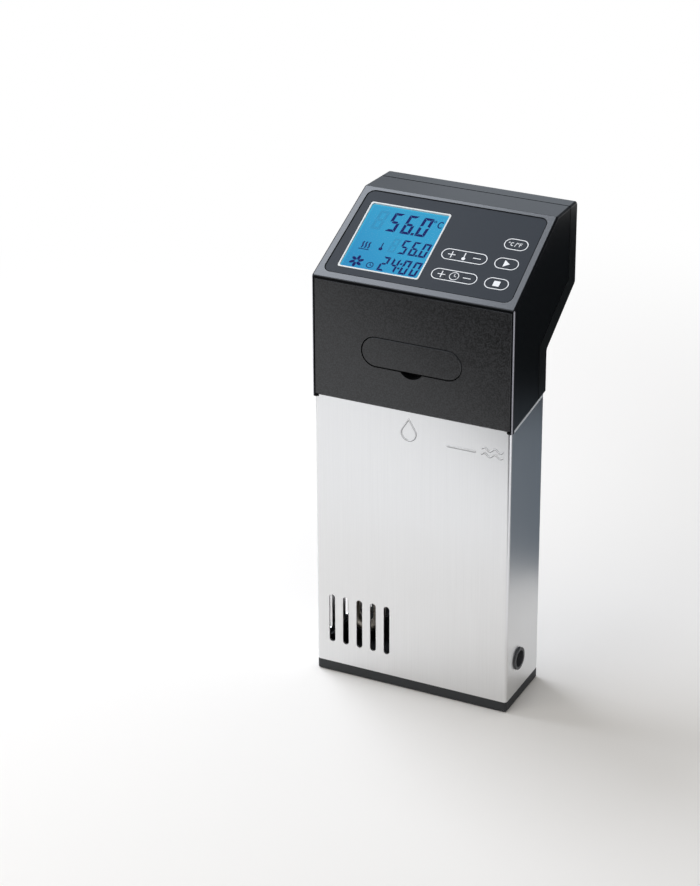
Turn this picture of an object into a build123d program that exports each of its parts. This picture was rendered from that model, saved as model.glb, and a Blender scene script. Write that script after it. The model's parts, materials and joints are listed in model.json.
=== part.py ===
from build123d import *
from math import atan2, cos, hypot, radians, sin, tan
import os

# Sous vide circulator in millimetres: +Z up, front face towards -Y, +X to the right of the front face.
# The origin is the middle of the flat base that it stands on.

# Head, heights above the seam between the steel sleeve and the black housing
head_width = 112.0
side_draft = 2.08
lower_depth = 45.2
head_depth = 83.3
front_height = 64.9
head_height = 95.2
deck_depth = 55.75
back_edge_height = 50.85
throat_height = 27.8
skirt_rise = 5.6
housing_wall = 2.6
edge_round = 1.1
outline_rounds = [0.0, 1.3, 1.6, 2.6, 2.2, 2.0, 0.0]
rear_cover_depth = 10.3
parting_gap = 0.8
lip_length = 3.0
lip_thickness = 1.3
corner_tab_width = 3.2
corner_tab_drop = 1.3

# Clearances
slip_gap = 0.15
panel_gap = 0.25
cover_gap = 0.5
sleeve_gap = 0.4
thread_gap = 0.05
running_gap = 0.05
press_gap = 0.02
overlap = 0.5

# Front panel with the oblong cover plate and the pocket behind it
panel_thickness = 2.4
panel_rim = 1.3
panel_ledge = 1.6
cover_width = 56.2
cover_height = 16.6
cover_centre = 29.4
cover_thickness = 1.8
notch_chord = 12.0
notch_depth = 3.0
pocket_wall = 1.6
pocket_depth = 6.0
snap_leg_length = 2.6
snap_leg_thickness = 1.2
snap_leg_width = 6.0

# Screws: thread radius, head radius, head height
m3_radius = 1.5
m3_head_radius = 2.75
m3_head_height = 1.9
m2_radius = 1.1
m2_head_radius = 2.0
m2_head_height = 1.4
screw_hole_gap = 0.2
boss_wall = 2.1
panel_screw_length = 6.5
rear_screw_length = 9.0
board_screw_length = 5.0
sleeve_screw_length = 7.0
motor_screw_length = 12.0

# Rear cover
rear_screw_inset = 12.0
rear_low_inset = 8.0
rear_screw_drop = 9.2
rear_screw_low = 10.0
rear_counterbore = 6.0
rear_low_counterbore = 1.2
rear_boss_length = 12.0
vent_count = 7
vent_pitch = 4.6
vent_width = 2.0
vent_height = 15.0

# Control deck: x across, v up the slope from the front edge
overlay_margin = 4.2
overlay_low_margin = 4.3
overlay_top_margin = 2.3
overlay_corner = 4.0
overlay_thickness = 1.0
overlay_recess = 0.3
overlay_gap = 0.3
display_inset = 10.5
display_height = 31.4
display_key_gap = 5.0
bezel_height = 45.0
bezel_band = 0.8
bezel_corner = 1.2
lcd_margin = 0.5
lcd_thickness = 2.4
board_depth = 10.4
board_thickness = 1.6
board_side_margin = 5.0
board_low_margin = 2.0
board_end_gap = 1.6
deck_boss_inset = 9.5
deck_boss_low = 4.6
deck_boss_end = 2.0
key_small = (12.8, 7.2)
key_wide = (24.8, 7.2)
key_icon_half = 3.9
key_ring = 0.7
key_gap = 0.15
key_travel = 0.4
key_well = 0.5
stem_radius = 1.9
stem_gap = 0.3
switch_size = 6.0
switch_height = 3.5
plunger_radius = 1.7
plunger_height = 1.0
key_wide_inset = 39.1
key_small_inset = 16.1
key_rows = (15.2, 28.6, 41.6)

# Power board in the rear cover
power_board_size = (51.0, 32.0)
power_board_inset = 42.5
power_board_height = 72.0
power_standoff = 5.0
power_screw_inset = 4.0
transformer_place = (-7.5, 3.5)
transformer_core = (20.0, 12.0, 13.0)
transformer_winding = (13.0, 17.0, 10.5)
relay_place = (11.0, 5.5)
relay_size = (14.5, 16.0, 14.0)
capacitor_x = (-11.5, -2.0)
capacitor_z = -10.5
capacitor_radius = 4.4
capacitor_length = 12.0
heat_sink_place = (13.4, -9.6)
heat_sink_size = (9.8, 10.5, 13.0)
heat_sink_web = 1.4
heat_sink_slots = 3
heat_sink_pitch = 3.0
triac_size = (4.2, 9.6, 12.0)
terminal_place = (-21.4, 0.5)
terminal_size = (7.0, 15.0, 10.0)
terminal_pitch = 5.0
terminal_hole = 1.7
terminal_hole_depth = 4.0
component_edge = 0.7

# Mains gland in the back
gland_inset = 26.0
gland_height = 70.0
gland_bore = 3.6
gland_thread = 6.0
gland_hex = 8.6
gland_flange = 4.0
gland_nose = 6.0
gland_tail = 7.0
gland_nut_height = 3.4

# Steel sleeve and base
sleeve_height = 154.0
sleeve_inset = 0.8
sleeve_sheet = 1.0
sleeve_bend = 1.7
base_rim = 6.0
base_plate = 3.0
base_spigot = 10.0
base_wall = 2.0
base_chamfer = 0.8
slot_count = 5
slot_width = 3.4
slot_length = 28.0
slot_pitch = 8.0
slot_inset = 10.0
slot_low_z = 18.0
side_slot_count = 3
side_slot_pitch = 9.0
bulkhead_screw_inset = 16.0
bulkhead_screw_height = -13.0
base_screw_inset = 12.0
base_screw_pump_gap = 27.0
base_screw_z = 11.0

# Bulkhead between the dry head and the wet sleeve, heights from the seam
bulkhead_floor = -20.0
bulkhead_floor_thickness = 3.0
bulkhead_step = -2.6
bulkhead_top = 14.0
bulkhead_wall = 2.0
seal_low = -7.0
seal_height = 2.4
seal_depth = 1.2
pillar_pump_gap = 15.0
pillar_width = 7.0
pillar_depth = 5.4
pillar_top = 36.0

# Heating element, probe and level electrodes in the wet sleeve
heater_radius = 3.25
heater_inset = 14.0
heater_pump_gap = 8.75
heater_legs = 4
heater_bend_gap = 0.2
heater_y = -4.0
heater_low_z = 22.0
heater_high_z = 118.0
heater_stub = 9.0
heater_pin_radius = 1.6
heater_pin_length = 8.0
nut_height = 5.0
nut_wall = 2.4
probe_pump_gap = 20.5
probe_y = 10.0
probe_radius = 2.5
probe_tip_z = 44.0
probe_stub = 14.0
electrode_insets = (27.0, 39.0)
electrode_y = 11.0
electrode_radius = 1.5
electrode_tip_z = 72.0
electrode_stub = 16.0
electrode_bush_radius = 3.6
electrode_bush_flange = 5.0
electrode_bush_lip = 2.0

# Motor and pump on one vertical axis, motor heights from the seam
pump_inset = 23.0
pump_y = 2.5
motor_radius = 14.5
motor_wall = 1.2
motor_seat = 15.0
motor_length = 34.0
motor_floor = 2.0
motor_ear_reach = 19.0
motor_ear_radius = 3.6
motor_ear_angle = 45.0
motor_cap_height = 3.0
magnet_thickness = 3.0
magnet_arc = 140.0
rotor_gap = 0.7
rotor_length = 22.0
shaft_radius = 2.0
shaft_stub = 2.0
coupling_radius = 5.0
coupling_length = 16.0
coupling_edge = 0.6
coupling_centre = 0.0
shaft_end_gap = 0.6
seal_ring_radius = 6.0
seal_ring_flange = 8.0
seal_ring_lip = 1.6
column_radius = 7.5
column_bore = 5.5
column_flange = 12.0
column_flange_height = 3.0
bush_length = 10.0
volute_radius = 18.0
volute_wall = 1.7
volute_gap = 1.0
volute_height = 16.0
volute_eye = 8.0
impeller_radius = 15.0
impeller_gap = 1.2
impeller_height = 9.0
impeller_disc = 1.6
impeller_hub = 4.5
impeller_blades = 6
blade_thickness = 1.6
outlet_radius = 6.0
outlet_bore = 4.5
outlet_offset = 9.0
outlet_proud = 1.2
intake_slots = 5
intake_slot_width = 3.0
intake_pitch = 5.4
intake_radius = 14.0

# Clamp for the pot wall, behind the lower body under the overhang
clamp_height = 14.0
clamp_pad_radius = 9.0
clamp_pad_thickness = 4.5
clamp_gap = 6.0
pad_edge = 0.8
pad_corner = 2.0
clamp_open = 17.0
clamp_close = 5.5
body_pad_size = (30.0, 1.8, 16.0)
body_pad_height = 15.5
clamp_screw_radius = 4.0
clamp_tip_radius = 3.0
clamp_tip_length = 3.4
clamp_arm_thickness = 6.0
clamp_arm_width = 24.0
clamp_arm_low = 3.0
clamp_boss_radius = 8.0
clamp_boss_proud = 1.2
clamp_flange_width = 30.0
clamp_flange_thickness = 4.0
clamp_flange_length = 24.0
clamp_screw_spread = 9.0
clamp_screw_back = 17.5
bracket_screw_length = 10.0
bracket_boss_height = 6.5
bracket_round = 1.6
knob_radius = 13.0
knob_lobe_radius = 4.0
knob_lobes = 6
knob_length = 11.0
knob_clear = 0.6
knob_chamfer = 0.8

# Positions worked out from the sizes above
half_head = head_width / 2
seam_z = base_rim + sleeve_height
front_y = -lower_depth / 2
lower_back_y = lower_depth / 2
back_y = front_y + head_depth
top_z = seam_z + head_height
deck_rise = head_height - front_height
deck_angle = atan2(deck_rise, deck_depth)
deck_length = hypot(deck_rise, deck_depth)
lean = radians(side_draft)
far = 4 * head_width
head_outline = [
    (front_y, seam_z),
    (front_y, seam_z + front_height),
    (front_y + deck_depth, top_z),
    (back_y, top_z),
    (back_y, seam_z + back_edge_height),
    (lower_back_y, seam_z + throat_height),
    (lower_back_y, seam_z + skirt_rise),
]
deck = Plane(
    origin=(0, front_y, seam_z + front_height),
    x_dir=(1, 0, 0),
    z_dir=(0, -sin(deck_angle), cos(deck_angle)),
)
pump_x = half_head - pump_inset
panel_screw_x = pump_x - pillar_pump_gap
pocket_back_y = front_y + pocket_depth + pocket_wall
key_top = -overlay_recess
overlay_floor = -(overlay_recess + overlay_thickness)
lcd_top = overlay_floor - running_gap
plunger_top = -board_depth + switch_height + plunger_height
key_column_wide = half_head - key_wide_inset
key_column_small = half_head - key_small_inset
bezel_left = display_inset - half_head
bezel_width = key_column_wide - key_wide[0] / 2 - display_key_gap - bezel_left
display_centre = (bezel_left + bezel_width / 2, display_height)
bulkhead_floor_z = seam_z + bulkhead_floor
bulkhead_deck_z = bulkhead_floor_z + bulkhead_floor_thickness
motor_seat_z = seam_z + motor_seat
motor_top_z = motor_seat_z + motor_length
coupling_z = seam_z + coupling_centre
volute_low_z = base_rim + base_spigot + volute_gap
volute_top_z = volute_low_z + volute_height
outlet_z = volute_low_z + volute_height / 2
impeller_low_z = volute_low_z + volute_wall + impeller_gap
sleeve_back_y = lower_back_y - sleeve_inset
inner_bend = sleeve_bend - sleeve_sheet
skirt_inset = sleeve_inset + sleeve_sheet + slip_gap
upper_inset = housing_wall + slip_gap
power_board_y = back_y - housing_wall - power_standoff - board_thickness
power_board_centre = (half_head - power_board_inset, power_board_height)
tallest_part = max(relay_size[2], transformer_core[2], heat_sink_size[2], capacitor_length)
board_end_y = power_board_y - tallest_part - board_end_gap
board_end = (board_end_y - front_y - (board_depth + board_thickness) * sin(deck_angle)) / cos(deck_angle)
gland_x = gland_inset - half_head
heater_first = heater_inset - half_head
heater_last = pump_x - volute_radius - heater_pump_gap - heater_radius
heater_pitch = (heater_last - heater_first) / (heater_legs - 1)
heater_leg_x = [heater_first + i * heater_pitch for i in range(heater_legs)]
heater_bend = heater_pitch / 2 - heater_bend_gap
probe_place = (pump_x - probe_pump_gap, probe_y)
electrode_places = [(inset - half_head, electrode_y) for inset in electrode_insets]
clamp_z = seam_z + clamp_height
body_pad_back = lower_back_y + body_pad_size[1]
clamp_face_y = body_pad_back + clamp_gap
clamp_pad_back = clamp_face_y + clamp_pad_thickness
clamp_boss_front = clamp_pad_back + clamp_open + knob_clear
clamp_arm_front = clamp_boss_front + clamp_boss_proud
clamp_arm_back = clamp_arm_front + clamp_arm_thickness
clamp_boss_back = clamp_arm_back + clamp_boss_proud
knob_front = clamp_boss_back + clamp_close + knob_clear
slant_angle = atan2(back_edge_height - throat_height, head_depth - lower_depth)


def half_width(y, inset=0.0):
    """Half the width of the tapered plan at depth y, moved in by inset."""
    return half_head - (y - front_y) * tan(lean) - inset / cos(lean)


def skirt_z(y):
    """Height of the seam, which rises towards the back."""
    return seam_z + (y - front_y) * skirt_rise / lower_depth


def inset_loop(corners, insets):
    """Corners of a clockwise outline whose edge i has moved inwards by insets[i]."""
    lines = []
    for i, (y0, z0) in enumerate(corners):
        y1, z1 = corners[(i + 1) % len(corners)]
        length = hypot(y1 - y0, z1 - z0)
        dy, dz = (y1 - y0) / length, (z1 - z0) / length
        lines.append((y0 + dz * insets[i], z0 - dy * insets[i], dy, dz))
    moved = []
    for i, (by, bz, bdy, bdz) in enumerate(lines):
        ay, az, ady, adz = lines[i - 1]
        along = ((by - ay) * bdz - (bz - az) * bdy) / (ady * bdz - adz * bdy)
        moved.append((ay + ady * along, az + adz * along))
    return moved


def side_prism(corners, rounds=None):
    """A side view outline carried straight across the whole width."""
    if rounds:
        edge = FilletPolyline(*corners, radius=rounds, close=True)
    else:
        edge = Polyline(*corners, close=True)
    return extrude(make_face(Plane.YZ * edge), amount=head_width, both=True)


def tapered(solid, inset):
    """Trim a solid to the plan that narrows towards the back."""
    near, away = front_y - head_depth, back_y + head_depth
    plan = Polyline(
        (-half_width(near, inset), near),
        (half_width(near, inset), near),
        (half_width(away, inset), away),
        (-half_width(away, inset), away),
        close=True,
    )
    return solid & extrude(make_face(plan), amount=far)


def tapered_box(inset, low_z, high_z, bend=0.0):
    """Block of the lower body's plan, moved in by inset on all four sides, its upright edges bent."""
    front, back = front_y + inset, lower_back_y - inset
    plan = FilletPolyline(
        (-half_width(front, inset), front),
        (half_width(front, inset), front),
        (half_width(back, inset), back),
        (-half_width(back, inset), back),
        radius=bend,
        close=True,
    )
    return Pos(0, 0, low_z) * extrude(make_face(plan), amount=high_z - low_z)


def head_block(inset, drop, rounds=None):
    """The head's outer form moved in by inset, with its underside lowered by drop."""
    corners = inset_loop(head_outline, [inset] * 6 + [-drop])
    return tapered(side_prism(corners, rounds), inset)


def before_parting(depth):
    """Everything in front of a line that runs parallel to the back at this depth."""
    return side_prism(inset_loop(head_outline, [-far] * 3 + [depth] * 3 + [-far]))


def rounded_head():
    """The outer form with its side edges rounded, tabs included."""
    block = head_block(0.0, corner_tab_drop, outline_rounds)
    flanks = block.faces().filter_by(lambda face: abs(face.normal_at().X) > 0.9)
    edges = ShapeList()
    for face in flanks:
        edges += face.edges().filter_by(lambda edge: edge.center().Z > seam_z + skirt_rise)
    return fillet(edges, edge_round)


def below_seam():
    """Everything under the rising seam."""
    return side_prism([
        (front_y - far, skirt_z(front_y - far)),
        (back_y + far, skirt_z(back_y + far)),
        (back_y + far, -far),
        (front_y - far, -far),
    ])


def screw(radius, head_radius, head_height, length):
    """Pan head screw along +Z with its seat at zero and its shank going down."""
    body = Pos(0, 0, -length / 2) * Cylinder(radius, length)
    body += Pos(0, 0, head_height / 2) * Cylinder(head_radius, head_height)
    body = fillet(body.edges().sort_by(Axis.Z)[-1], head_height / 3)
    for turn in (0, 90):
        body -= Pos(0, 0, head_height) * Rot(0, 0, turn) * Box(head_radius, radius / 2, head_height)
    return body


def m3_screw(length):
    return screw(m3_radius, m3_head_radius, m3_head_height, length)


def along_y(x, y, z, backwards=True):
    """A place whose +Z axis points along +Y, or along -Y."""
    return Location(Plane(origin=(x, y, z), x_dir=(1, 0, 0), z_dir=(0, 1 if backwards else -1, 0)))


def rod_y(x, y0, y1, z, radius):
    """Cylinder from y0 to y1."""
    return along_y(x, (y0 + y1) / 2, z) * Cylinder(radius, y1 - y0)


def rod_z(x, y, z0, z1, radius):
    """Cylinder from z0 to z1."""
    return Pos(x, y, (z0 + z1) / 2) * Cylinder(radius, z1 - z0)


def block(x0, x1, y0, y1, z0, z1):
    """Box between two corners."""
    return Pos((x0 + x1) / 2, (y0 + y1) / 2, (z0 + z1) / 2) * Box(x1 - x0, y1 - y0, z1 - z0)


def on_deck(sketch, low, high):
    """A sketch in deck coordinates made solid between two heights along the deck's normal."""
    return deck * Pos(0, 0, low) * extrude(sketch, amount=high - low)


def hex_nut(bore, height):
    """Hexagon nut standing on zero."""
    return extrude(RegularPolygon(bore + nut_wall, 6) - Circle(bore), amount=height)


key_places = {
    "key_unit": (key_column_small, key_rows[2], 0),
    "key_start": (key_column_small, key_rows[1], 0),
    "key_stop": (key_column_small, key_rows[0], 0),
    "key_temp_up": (key_column_wide, key_rows[1], -1),
    "key_temp_down": (key_column_wide, key_rows[1], 1),
    "key_time_up": (key_column_wide, key_rows[0], -1),
    "key_time_down": (key_column_wide, key_rows[0], 1),
}


def key_shape(name, inset):
    """Outline of one key on the deck: a whole small oblong, or one end of a wide one."""
    x, v, side = key_places[name]
    width, height = key_wide if side else key_small
    shape = SlotOverall(width - 2 * inset, height - 2 * inset)
    if side:
        keep = Pos(side * (key_icon_half + inset + width / 2), 0) * Rectangle(width, height)
        shape = shape & keep
    return Pos(x, v) * shape


def stem_place(name):
    """Middle of a key, where its stem meets the switch."""
    x, v, side = key_places[name]
    return (x + side * (key_icon_half + key_wide[0] / 2) / 2, v)


def display_outline(inset):
    """Outline of the display's border, moved in by inset."""
    width, height = bezel_width - 2 * inset, bezel_height - 2 * inset
    return Pos(*display_centre) * RectangleRounded(width, height, bezel_corner)


def overlay_shape(grow):
    """Outline of the control overlay, which narrows with the housing."""
    low, high = overlay_low_margin, deck_length - overlay_top_margin
    low_half = half_width(front_y + low * cos(deck_angle)) - overlay_margin
    high_half = half_width(front_y + high * cos(deck_angle)) - overlay_margin
    outline = FilletPolyline(
        (-low_half, low), (low_half, low), (high_half, high), (-high_half, high),
        radius=overlay_corner, close=True,
    )
    return offset(make_face(outline), amount=grow) if grow else make_face(outline)


deck_boss_x = half_head - deck_boss_inset
deck_boss_places = [
    (x, v) for x in (-deck_boss_x, deck_boss_x) for v in (deck_boss_low, board_end - deck_boss_end)
]
rear_screw_x = half_head - rear_screw_inset
rear_low_x = half_head - rear_low_inset
rear_top_places = [(x, top_z - rear_screw_drop) for x in (-rear_screw_x, rear_screw_x)]
rear_low_places = [(x, seam_z + rear_screw_low) for x in (-rear_low_x, rear_low_x)]
panel_screw_places = [(x, seam_z + cover_centre) for x in (-panel_screw_x, panel_screw_x)]
power_screw_places = [
    (power_board_centre[0] + i * (power_board_size[0] / 2 - power_screw_inset),
     seam_z + power_board_centre[1] + k * (power_board_size[1] / 2 - power_screw_inset))
    for i in (-1, 1) for k in (-1, 1)
]
bulkhead_screw_x = half_head - bulkhead_screw_inset
bulkhead_screw_places = [(x, seam_z + bulkhead_screw_height) for x in (-bulkhead_screw_x, bulkhead_screw_x)]
base_screw_places = [(x, base_screw_z) for x in (base_screw_inset - half_head, pump_x - base_screw_pump_gap)]
motor_ear_places = [
    (pump_x + turn * motor_ear_reach * cos(radians(motor_ear_angle)),
     pump_y - turn * motor_ear_reach * sin(radians(motor_ear_angle)))
    for turn in (-1, 1)
]
slant = Plane(
    origin=(0, back_y, seam_z + back_edge_height),
    x_dir=(1, 0, 0),
    z_dir=(0, sin(slant_angle), -cos(slant_angle)),
)
bracket_screw_places = [(x, clamp_screw_back) for x in (-clamp_screw_spread, clamp_screw_spread)]


def head_shell():
    """Hollow head, open underneath."""
    return rounded_head() - head_block(housing_wall, far / 8)


def corner_tabs(grow):
    """Room for the two front corners that reach down past the seam."""
    tabs = []
    for side in (-1, 1):
        inner = side * (half_width(front_y) - corner_tab_width - grow)
        outer = side * (half_width(front_y) + overlap)
        tabs.append(block(
            min(inner, outer), max(inner, outer),
            front_y - overlap, front_y + housing_wall + grow,
            seam_z - corner_tab_drop - grow, seam_z + corner_tab_drop,
        ))
    return tabs


def main_housing(shell):
    """Hood with side walls, top and control deck, open at the front and back."""
    body = shell & before_parting(rear_cover_depth + parting_gap / 2)
    cut = below_seam()
    for tab in corner_tabs(0.0):
        cut -= tab
    body -= cut
    opening = half_width(front_y) - panel_rim
    top = seam_z + front_height - panel_rim
    body -= block(-opening, opening, front_y - overlap, front_y + panel_thickness, seam_z, top)
    inner = half_width(front_y, housing_wall)
    body -= block(-inner, inner, front_y - overlap, front_y + housing_wall + overlap,
                  seam_z - far, top - panel_ledge)
    body -= on_deck(overlay_shape(overlay_gap), overlay_floor, overlap)
    body -= on_deck(display_outline(lcd_margin - slip_gap), -housing_wall - overlap, 0)
    for name in key_places:
        body -= on_deck(key_shape(name, key_ring), overlay_floor - key_well, 0)
        hole = Pos(*stem_place(name)) * Circle(stem_radius + stem_gap)
        body -= on_deck(hole, -housing_wall - overlap, 0)
    for place in deck_boss_places:
        ring = Pos(*place) * (Circle(m2_radius + boss_wall) - Circle(m2_radius + thread_gap))
        body += on_deck(ring, -board_depth, -housing_wall + overlap / 2)
    end = back_y - rear_cover_depth - slip_gap / 2
    start = end - rear_boss_length
    for x, z in rear_top_places:
        body += rod_y(x, start, end, z, m3_radius + boss_wall)
        body += block(x - boss_wall / 2, x + boss_wall / 2, start, end - lip_length - overlap,
                      z, top_z - housing_wall / 2)
        body -= rod_y(x, start - overlap, end + overlap, z, m3_radius + thread_gap)
    return body


def rear_cover(shell):
    """Back shell with a lip that slides into the main housing."""
    edge = rear_cover_depth - parting_gap / 2
    body = shell - before_parting(edge)
    core = head_block(upper_inset + lip_thickness, far / 8)
    root = (head_block(housing_wall - overlap, 0) - core) & before_parting(edge - lip_length)
    root -= before_parting(edge)
    lip = (head_block(upper_inset, 0) - core) & before_parting(edge - lip_length / 2)
    lip -= before_parting(rear_cover_depth + lip_length)
    collar = (root + lip) - block(-far, far, -far, far, 0, seam_z + bulkhead_top + slip_gap)
    body = body + collar - below_seam()
    start = back_y - rear_cover_depth + slip_gap / 2
    for x, z in rear_top_places:
        body += rod_y(x, start, back_y - housing_wall / 2, z, m3_head_radius + boss_wall)
        body -= rod_y(x, start - overlap, back_y + overlap, z, m3_radius + screw_hole_gap)
        body -= rod_y(x, back_y - rear_counterbore, back_y + overlap, z, m3_head_radius + screw_hole_gap)
    for x, z in rear_low_places:
        body -= rod_y(x, lower_back_y - far / 8, lower_back_y + overlap, z, m3_radius + screw_hole_gap)
        body -= rod_y(x, lower_back_y - rear_low_counterbore, lower_back_y + overlap, z,
                      m3_head_radius + screw_hole_gap)
    for x, z in power_screw_places:
        body += rod_y(x, power_board_y + board_thickness, back_y - housing_wall / 2, z, m2_radius + boss_wall)
        body -= rod_y(x, power_board_y, back_y - housing_wall, z, m2_radius + thread_gap)
    for i in range(vent_count):
        x = power_board_centre[0] + (i - (vent_count - 1) / 2) * vent_pitch
        slot = extrude(SlotOverall(vent_height, vent_width, 90), amount=housing_wall + 2 * overlap)
        body -= along_y(x, back_y - housing_wall - overlap, seam_z + power_board_height) * slot
    body -= rod_y(gland_x, back_y - housing_wall - overlap, back_y + overlap, seam_z + gland_height,
                  gland_thread + slip_gap)
    for x, back in bracket_screw_places:
        at = slant * Pos(x, back, 0)
        boss = Cylinder(m3_radius + boss_wall, bracket_boss_height)
        body += at * Pos(0, 0, -bracket_boss_height / 2) * boss
        body -= at * Cylinder(m3_radius + thread_gap, 2 * bracket_boss_height + 2 * overlap)
    return body


def notch_circle():
    """Round nail notch that dips below the cover plate's lower edge."""
    radius = (notch_chord ** 2 / 4 + notch_depth ** 2) / (2 * notch_depth)
    return Pos(0, -cover_height / 2 - notch_depth + radius) * Circle(radius)


def front_face(sketch, y0, y1):
    """A sketch on the front face, about the cover plate's middle, made solid from y0 to y1."""
    plane = Plane(origin=(0, y1, seam_z + cover_centre), x_dir=(1, 0, 0), z_dir=(0, -1, 0))
    return plane * extrude(sketch, amount=y1 - y0)


def front_panel():
    """Front plate with the pocket for its two screws."""
    half = half_width(front_y) - panel_rim - panel_gap
    top = seam_z + front_height - panel_rim - panel_gap
    plate = block(-half, half, front_y, front_y + panel_thickness, seam_z + panel_gap, top)
    plate = chamfer(plate.faces().sort_by(Axis.Y)[0].edges(), panel_gap)
    hole = SlotOverall(cover_width, cover_height) + notch_circle()
    plate += front_face(offset(hole, amount=pocket_wall), front_y + panel_thickness / 2, pocket_back_y)
    plate -= front_face(hole, front_y - overlap, front_y + pocket_depth)
    for x, z in panel_screw_places:
        plate -= rod_y(x, front_y, pocket_back_y + overlap, z, m3_radius + screw_hole_gap)
    return plate


def screw_cover():
    """Oblong plate that snaps into the front panel and hides its screws."""
    shape = SlotOverall(cover_width - 2 * cover_gap, cover_height - 2 * cover_gap)
    plate = front_face(shape, front_y, front_y + cover_thickness)
    plate = chamfer(plate.faces().sort_by(Axis.Y)[0].edges(), panel_gap)
    for side in (-1, 1):
        edge = cover_height / 2 - panel_gap - snap_leg_thickness / 2
        leg = Pos(0, side * edge) * Rectangle(snap_leg_width, snap_leg_thickness)
        plate += front_face(leg, front_y + cover_thickness / 2, front_y + cover_thickness + snap_leg_length)
    return plate


def panel_screws():
    """Two screws behind the cover plate."""
    seat = front_y + pocket_depth
    return [along_y(x, seat, z, False) * m3_screw(panel_screw_length) for x, z in panel_screw_places]


def rear_cover_screws():
    """Four screws from behind: two into the hood, two into the bulkhead."""
    high = [along_y(x, back_y - rear_counterbore, z) * m3_screw(rear_screw_length)
            for x, z in rear_top_places]
    low = [along_y(x, lower_back_y - rear_low_counterbore, z) * m3_screw(rear_screw_length)
           for x, z in rear_low_places]
    return high + low


def control_overlay():
    """Front foil plate of the deck with openings for the display and the keys."""
    shape = overlay_shape(0.0) - display_outline(-slip_gap)
    plate = on_deck(shape, overlay_floor, key_top)
    for name in key_places:
        plate -= on_deck(key_shape(name, key_ring), overlay_floor - overlap, overlap)
    return plate


def display_bezel():
    """White border round the display."""
    return on_deck(display_outline(0.0) - display_outline(bezel_band), overlay_floor, key_top)


def display_lens():
    """Clear window inside the border."""
    return on_deck(display_outline(bezel_band + slip_gap), overlay_floor, key_top)


def lcd_panel():
    return on_deck(display_outline(lcd_margin), lcd_top - lcd_thickness, lcd_top)


def lcd_backlight():
    """Light box between the display panel and the control board."""
    return on_deck(display_outline(lcd_margin), -board_depth, lcd_top - lcd_thickness)


def control_board():
    """Circuit board under the deck."""
    half = half_width(board_end_y) - board_side_margin
    shape = Pos(0, (board_low_margin + board_end) / 2) * Rectangle(2 * half, board_end - board_low_margin)
    for place in deck_boss_places:
        shape -= Pos(*place) * Circle(m2_radius + screw_hole_gap)
    return on_deck(shape, -board_depth - board_thickness, -board_depth)


def tact_switches():
    """One switch under each key."""
    switches = []
    for name in key_places:
        at = Pos(*stem_place(name))
        body = on_deck(at * Rectangle(switch_size, switch_size), -board_depth, -board_depth + switch_height)
        body += on_deck(at * Circle(plunger_radius), -board_depth, plunger_top)
        switches.append(body)
    return switches


def key(name):
    """Key cap with the stem that reaches down to its switch."""
    cap = on_deck(key_shape(name, key_ring + key_gap), overlay_floor, key_top)
    stem = on_deck(Pos(*stem_place(name)) * Circle(stem_radius), plunger_top + key_travel + running_gap,
                   overlay_floor + overlay_thickness / 2)
    return cap + stem


def board_screws():
    """Screws of the control board and the power board."""
    parts = []
    for x, v in deck_boss_places:
        seat = deck * Pos(x, v, -board_depth - board_thickness) * Rot(180, 0, 0)
        parts.append(seat * screw(m2_radius, m2_head_radius, m2_head_height, board_screw_length))
    for x, z in power_screw_places:
        seat = along_y(x, power_board_y, z, False)
        parts.append(seat * screw(m2_radius, m2_head_radius, m2_head_height, board_screw_length))
    return parts


def power_board():
    """Mains board on the rear cover's bosses."""
    x, z = power_board_centre
    width, height = power_board_size
    board = block(x - width / 2, x + width / 2, power_board_y, power_board_y + board_thickness,
                  seam_z + z - height / 2, seam_z + z + height / 2)
    for px, pz in power_screw_places:
        board -= rod_y(px, power_board_y - overlap, power_board_y + board_thickness + overlap, pz,
                       m2_radius + screw_hole_gap)
    return board


def on_power_board(place, size):
    """Block of a component on the front of the power board, placed from the board's middle."""
    x, z = place[0] + power_board_centre[0], place[1] + seam_z + power_board_centre[1]
    width, height, depth = size
    return block(x - width / 2, x + width / 2, power_board_y - depth, power_board_y,
                 z - height / 2, z + height / 2)


def transformer():
    """Laminated core with a winding through its middle."""
    return on_power_board(transformer_place, transformer_core) + on_power_board(
        transformer_place, transformer_winding)


def relay():
    """Sealed relay that switches the heater."""
    body = on_power_board(relay_place, relay_size)
    return fillet(body.edges().filter_by(Axis.Y), component_edge)


def capacitors():
    """Two round capacitors standing on the power board."""
    cans = []
    for x in capacitor_x:
        can = rod_y(power_board_centre[0] + x, power_board_y - capacitor_length, power_board_y,
                    seam_z + power_board_centre[1] + capacitor_z, capacitor_radius)
        cans.append(fillet(can.edges().sort_by(Axis.Y)[0], component_edge))
    return cans


def heat_sink():
    """Finned block beside the triac."""
    x, z = heat_sink_place
    width, height, depth = heat_sink_size
    body = on_power_board(heat_sink_place, heat_sink_size)
    for i in range(heat_sink_slots):
        off = (i - (heat_sink_slots - 1) / 2) * heat_sink_pitch
        body -= on_power_board((x + heat_sink_web, z + off), (width, heat_sink_web, depth))
    return body


def triac():
    """Power switch flat against the heat sink."""
    x = heat_sink_place[0] - heat_sink_size[0] / 2 - triac_size[0] / 2
    return on_power_board((x, heat_sink_place[1]), triac_size)


def terminal_block():
    """Screw terminals for the mains wires."""
    body = on_power_board(terminal_place, terminal_size)
    front = power_board_y - terminal_size[2]
    for i in (-1, 0, 1):
        x = power_board_centre[0] + terminal_place[0]
        z = seam_z + power_board_centre[1] + terminal_place[1] + i * terminal_pitch
        body -= rod_y(x, front - overlap, front + terminal_hole_depth, z, terminal_hole)
    return body


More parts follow.
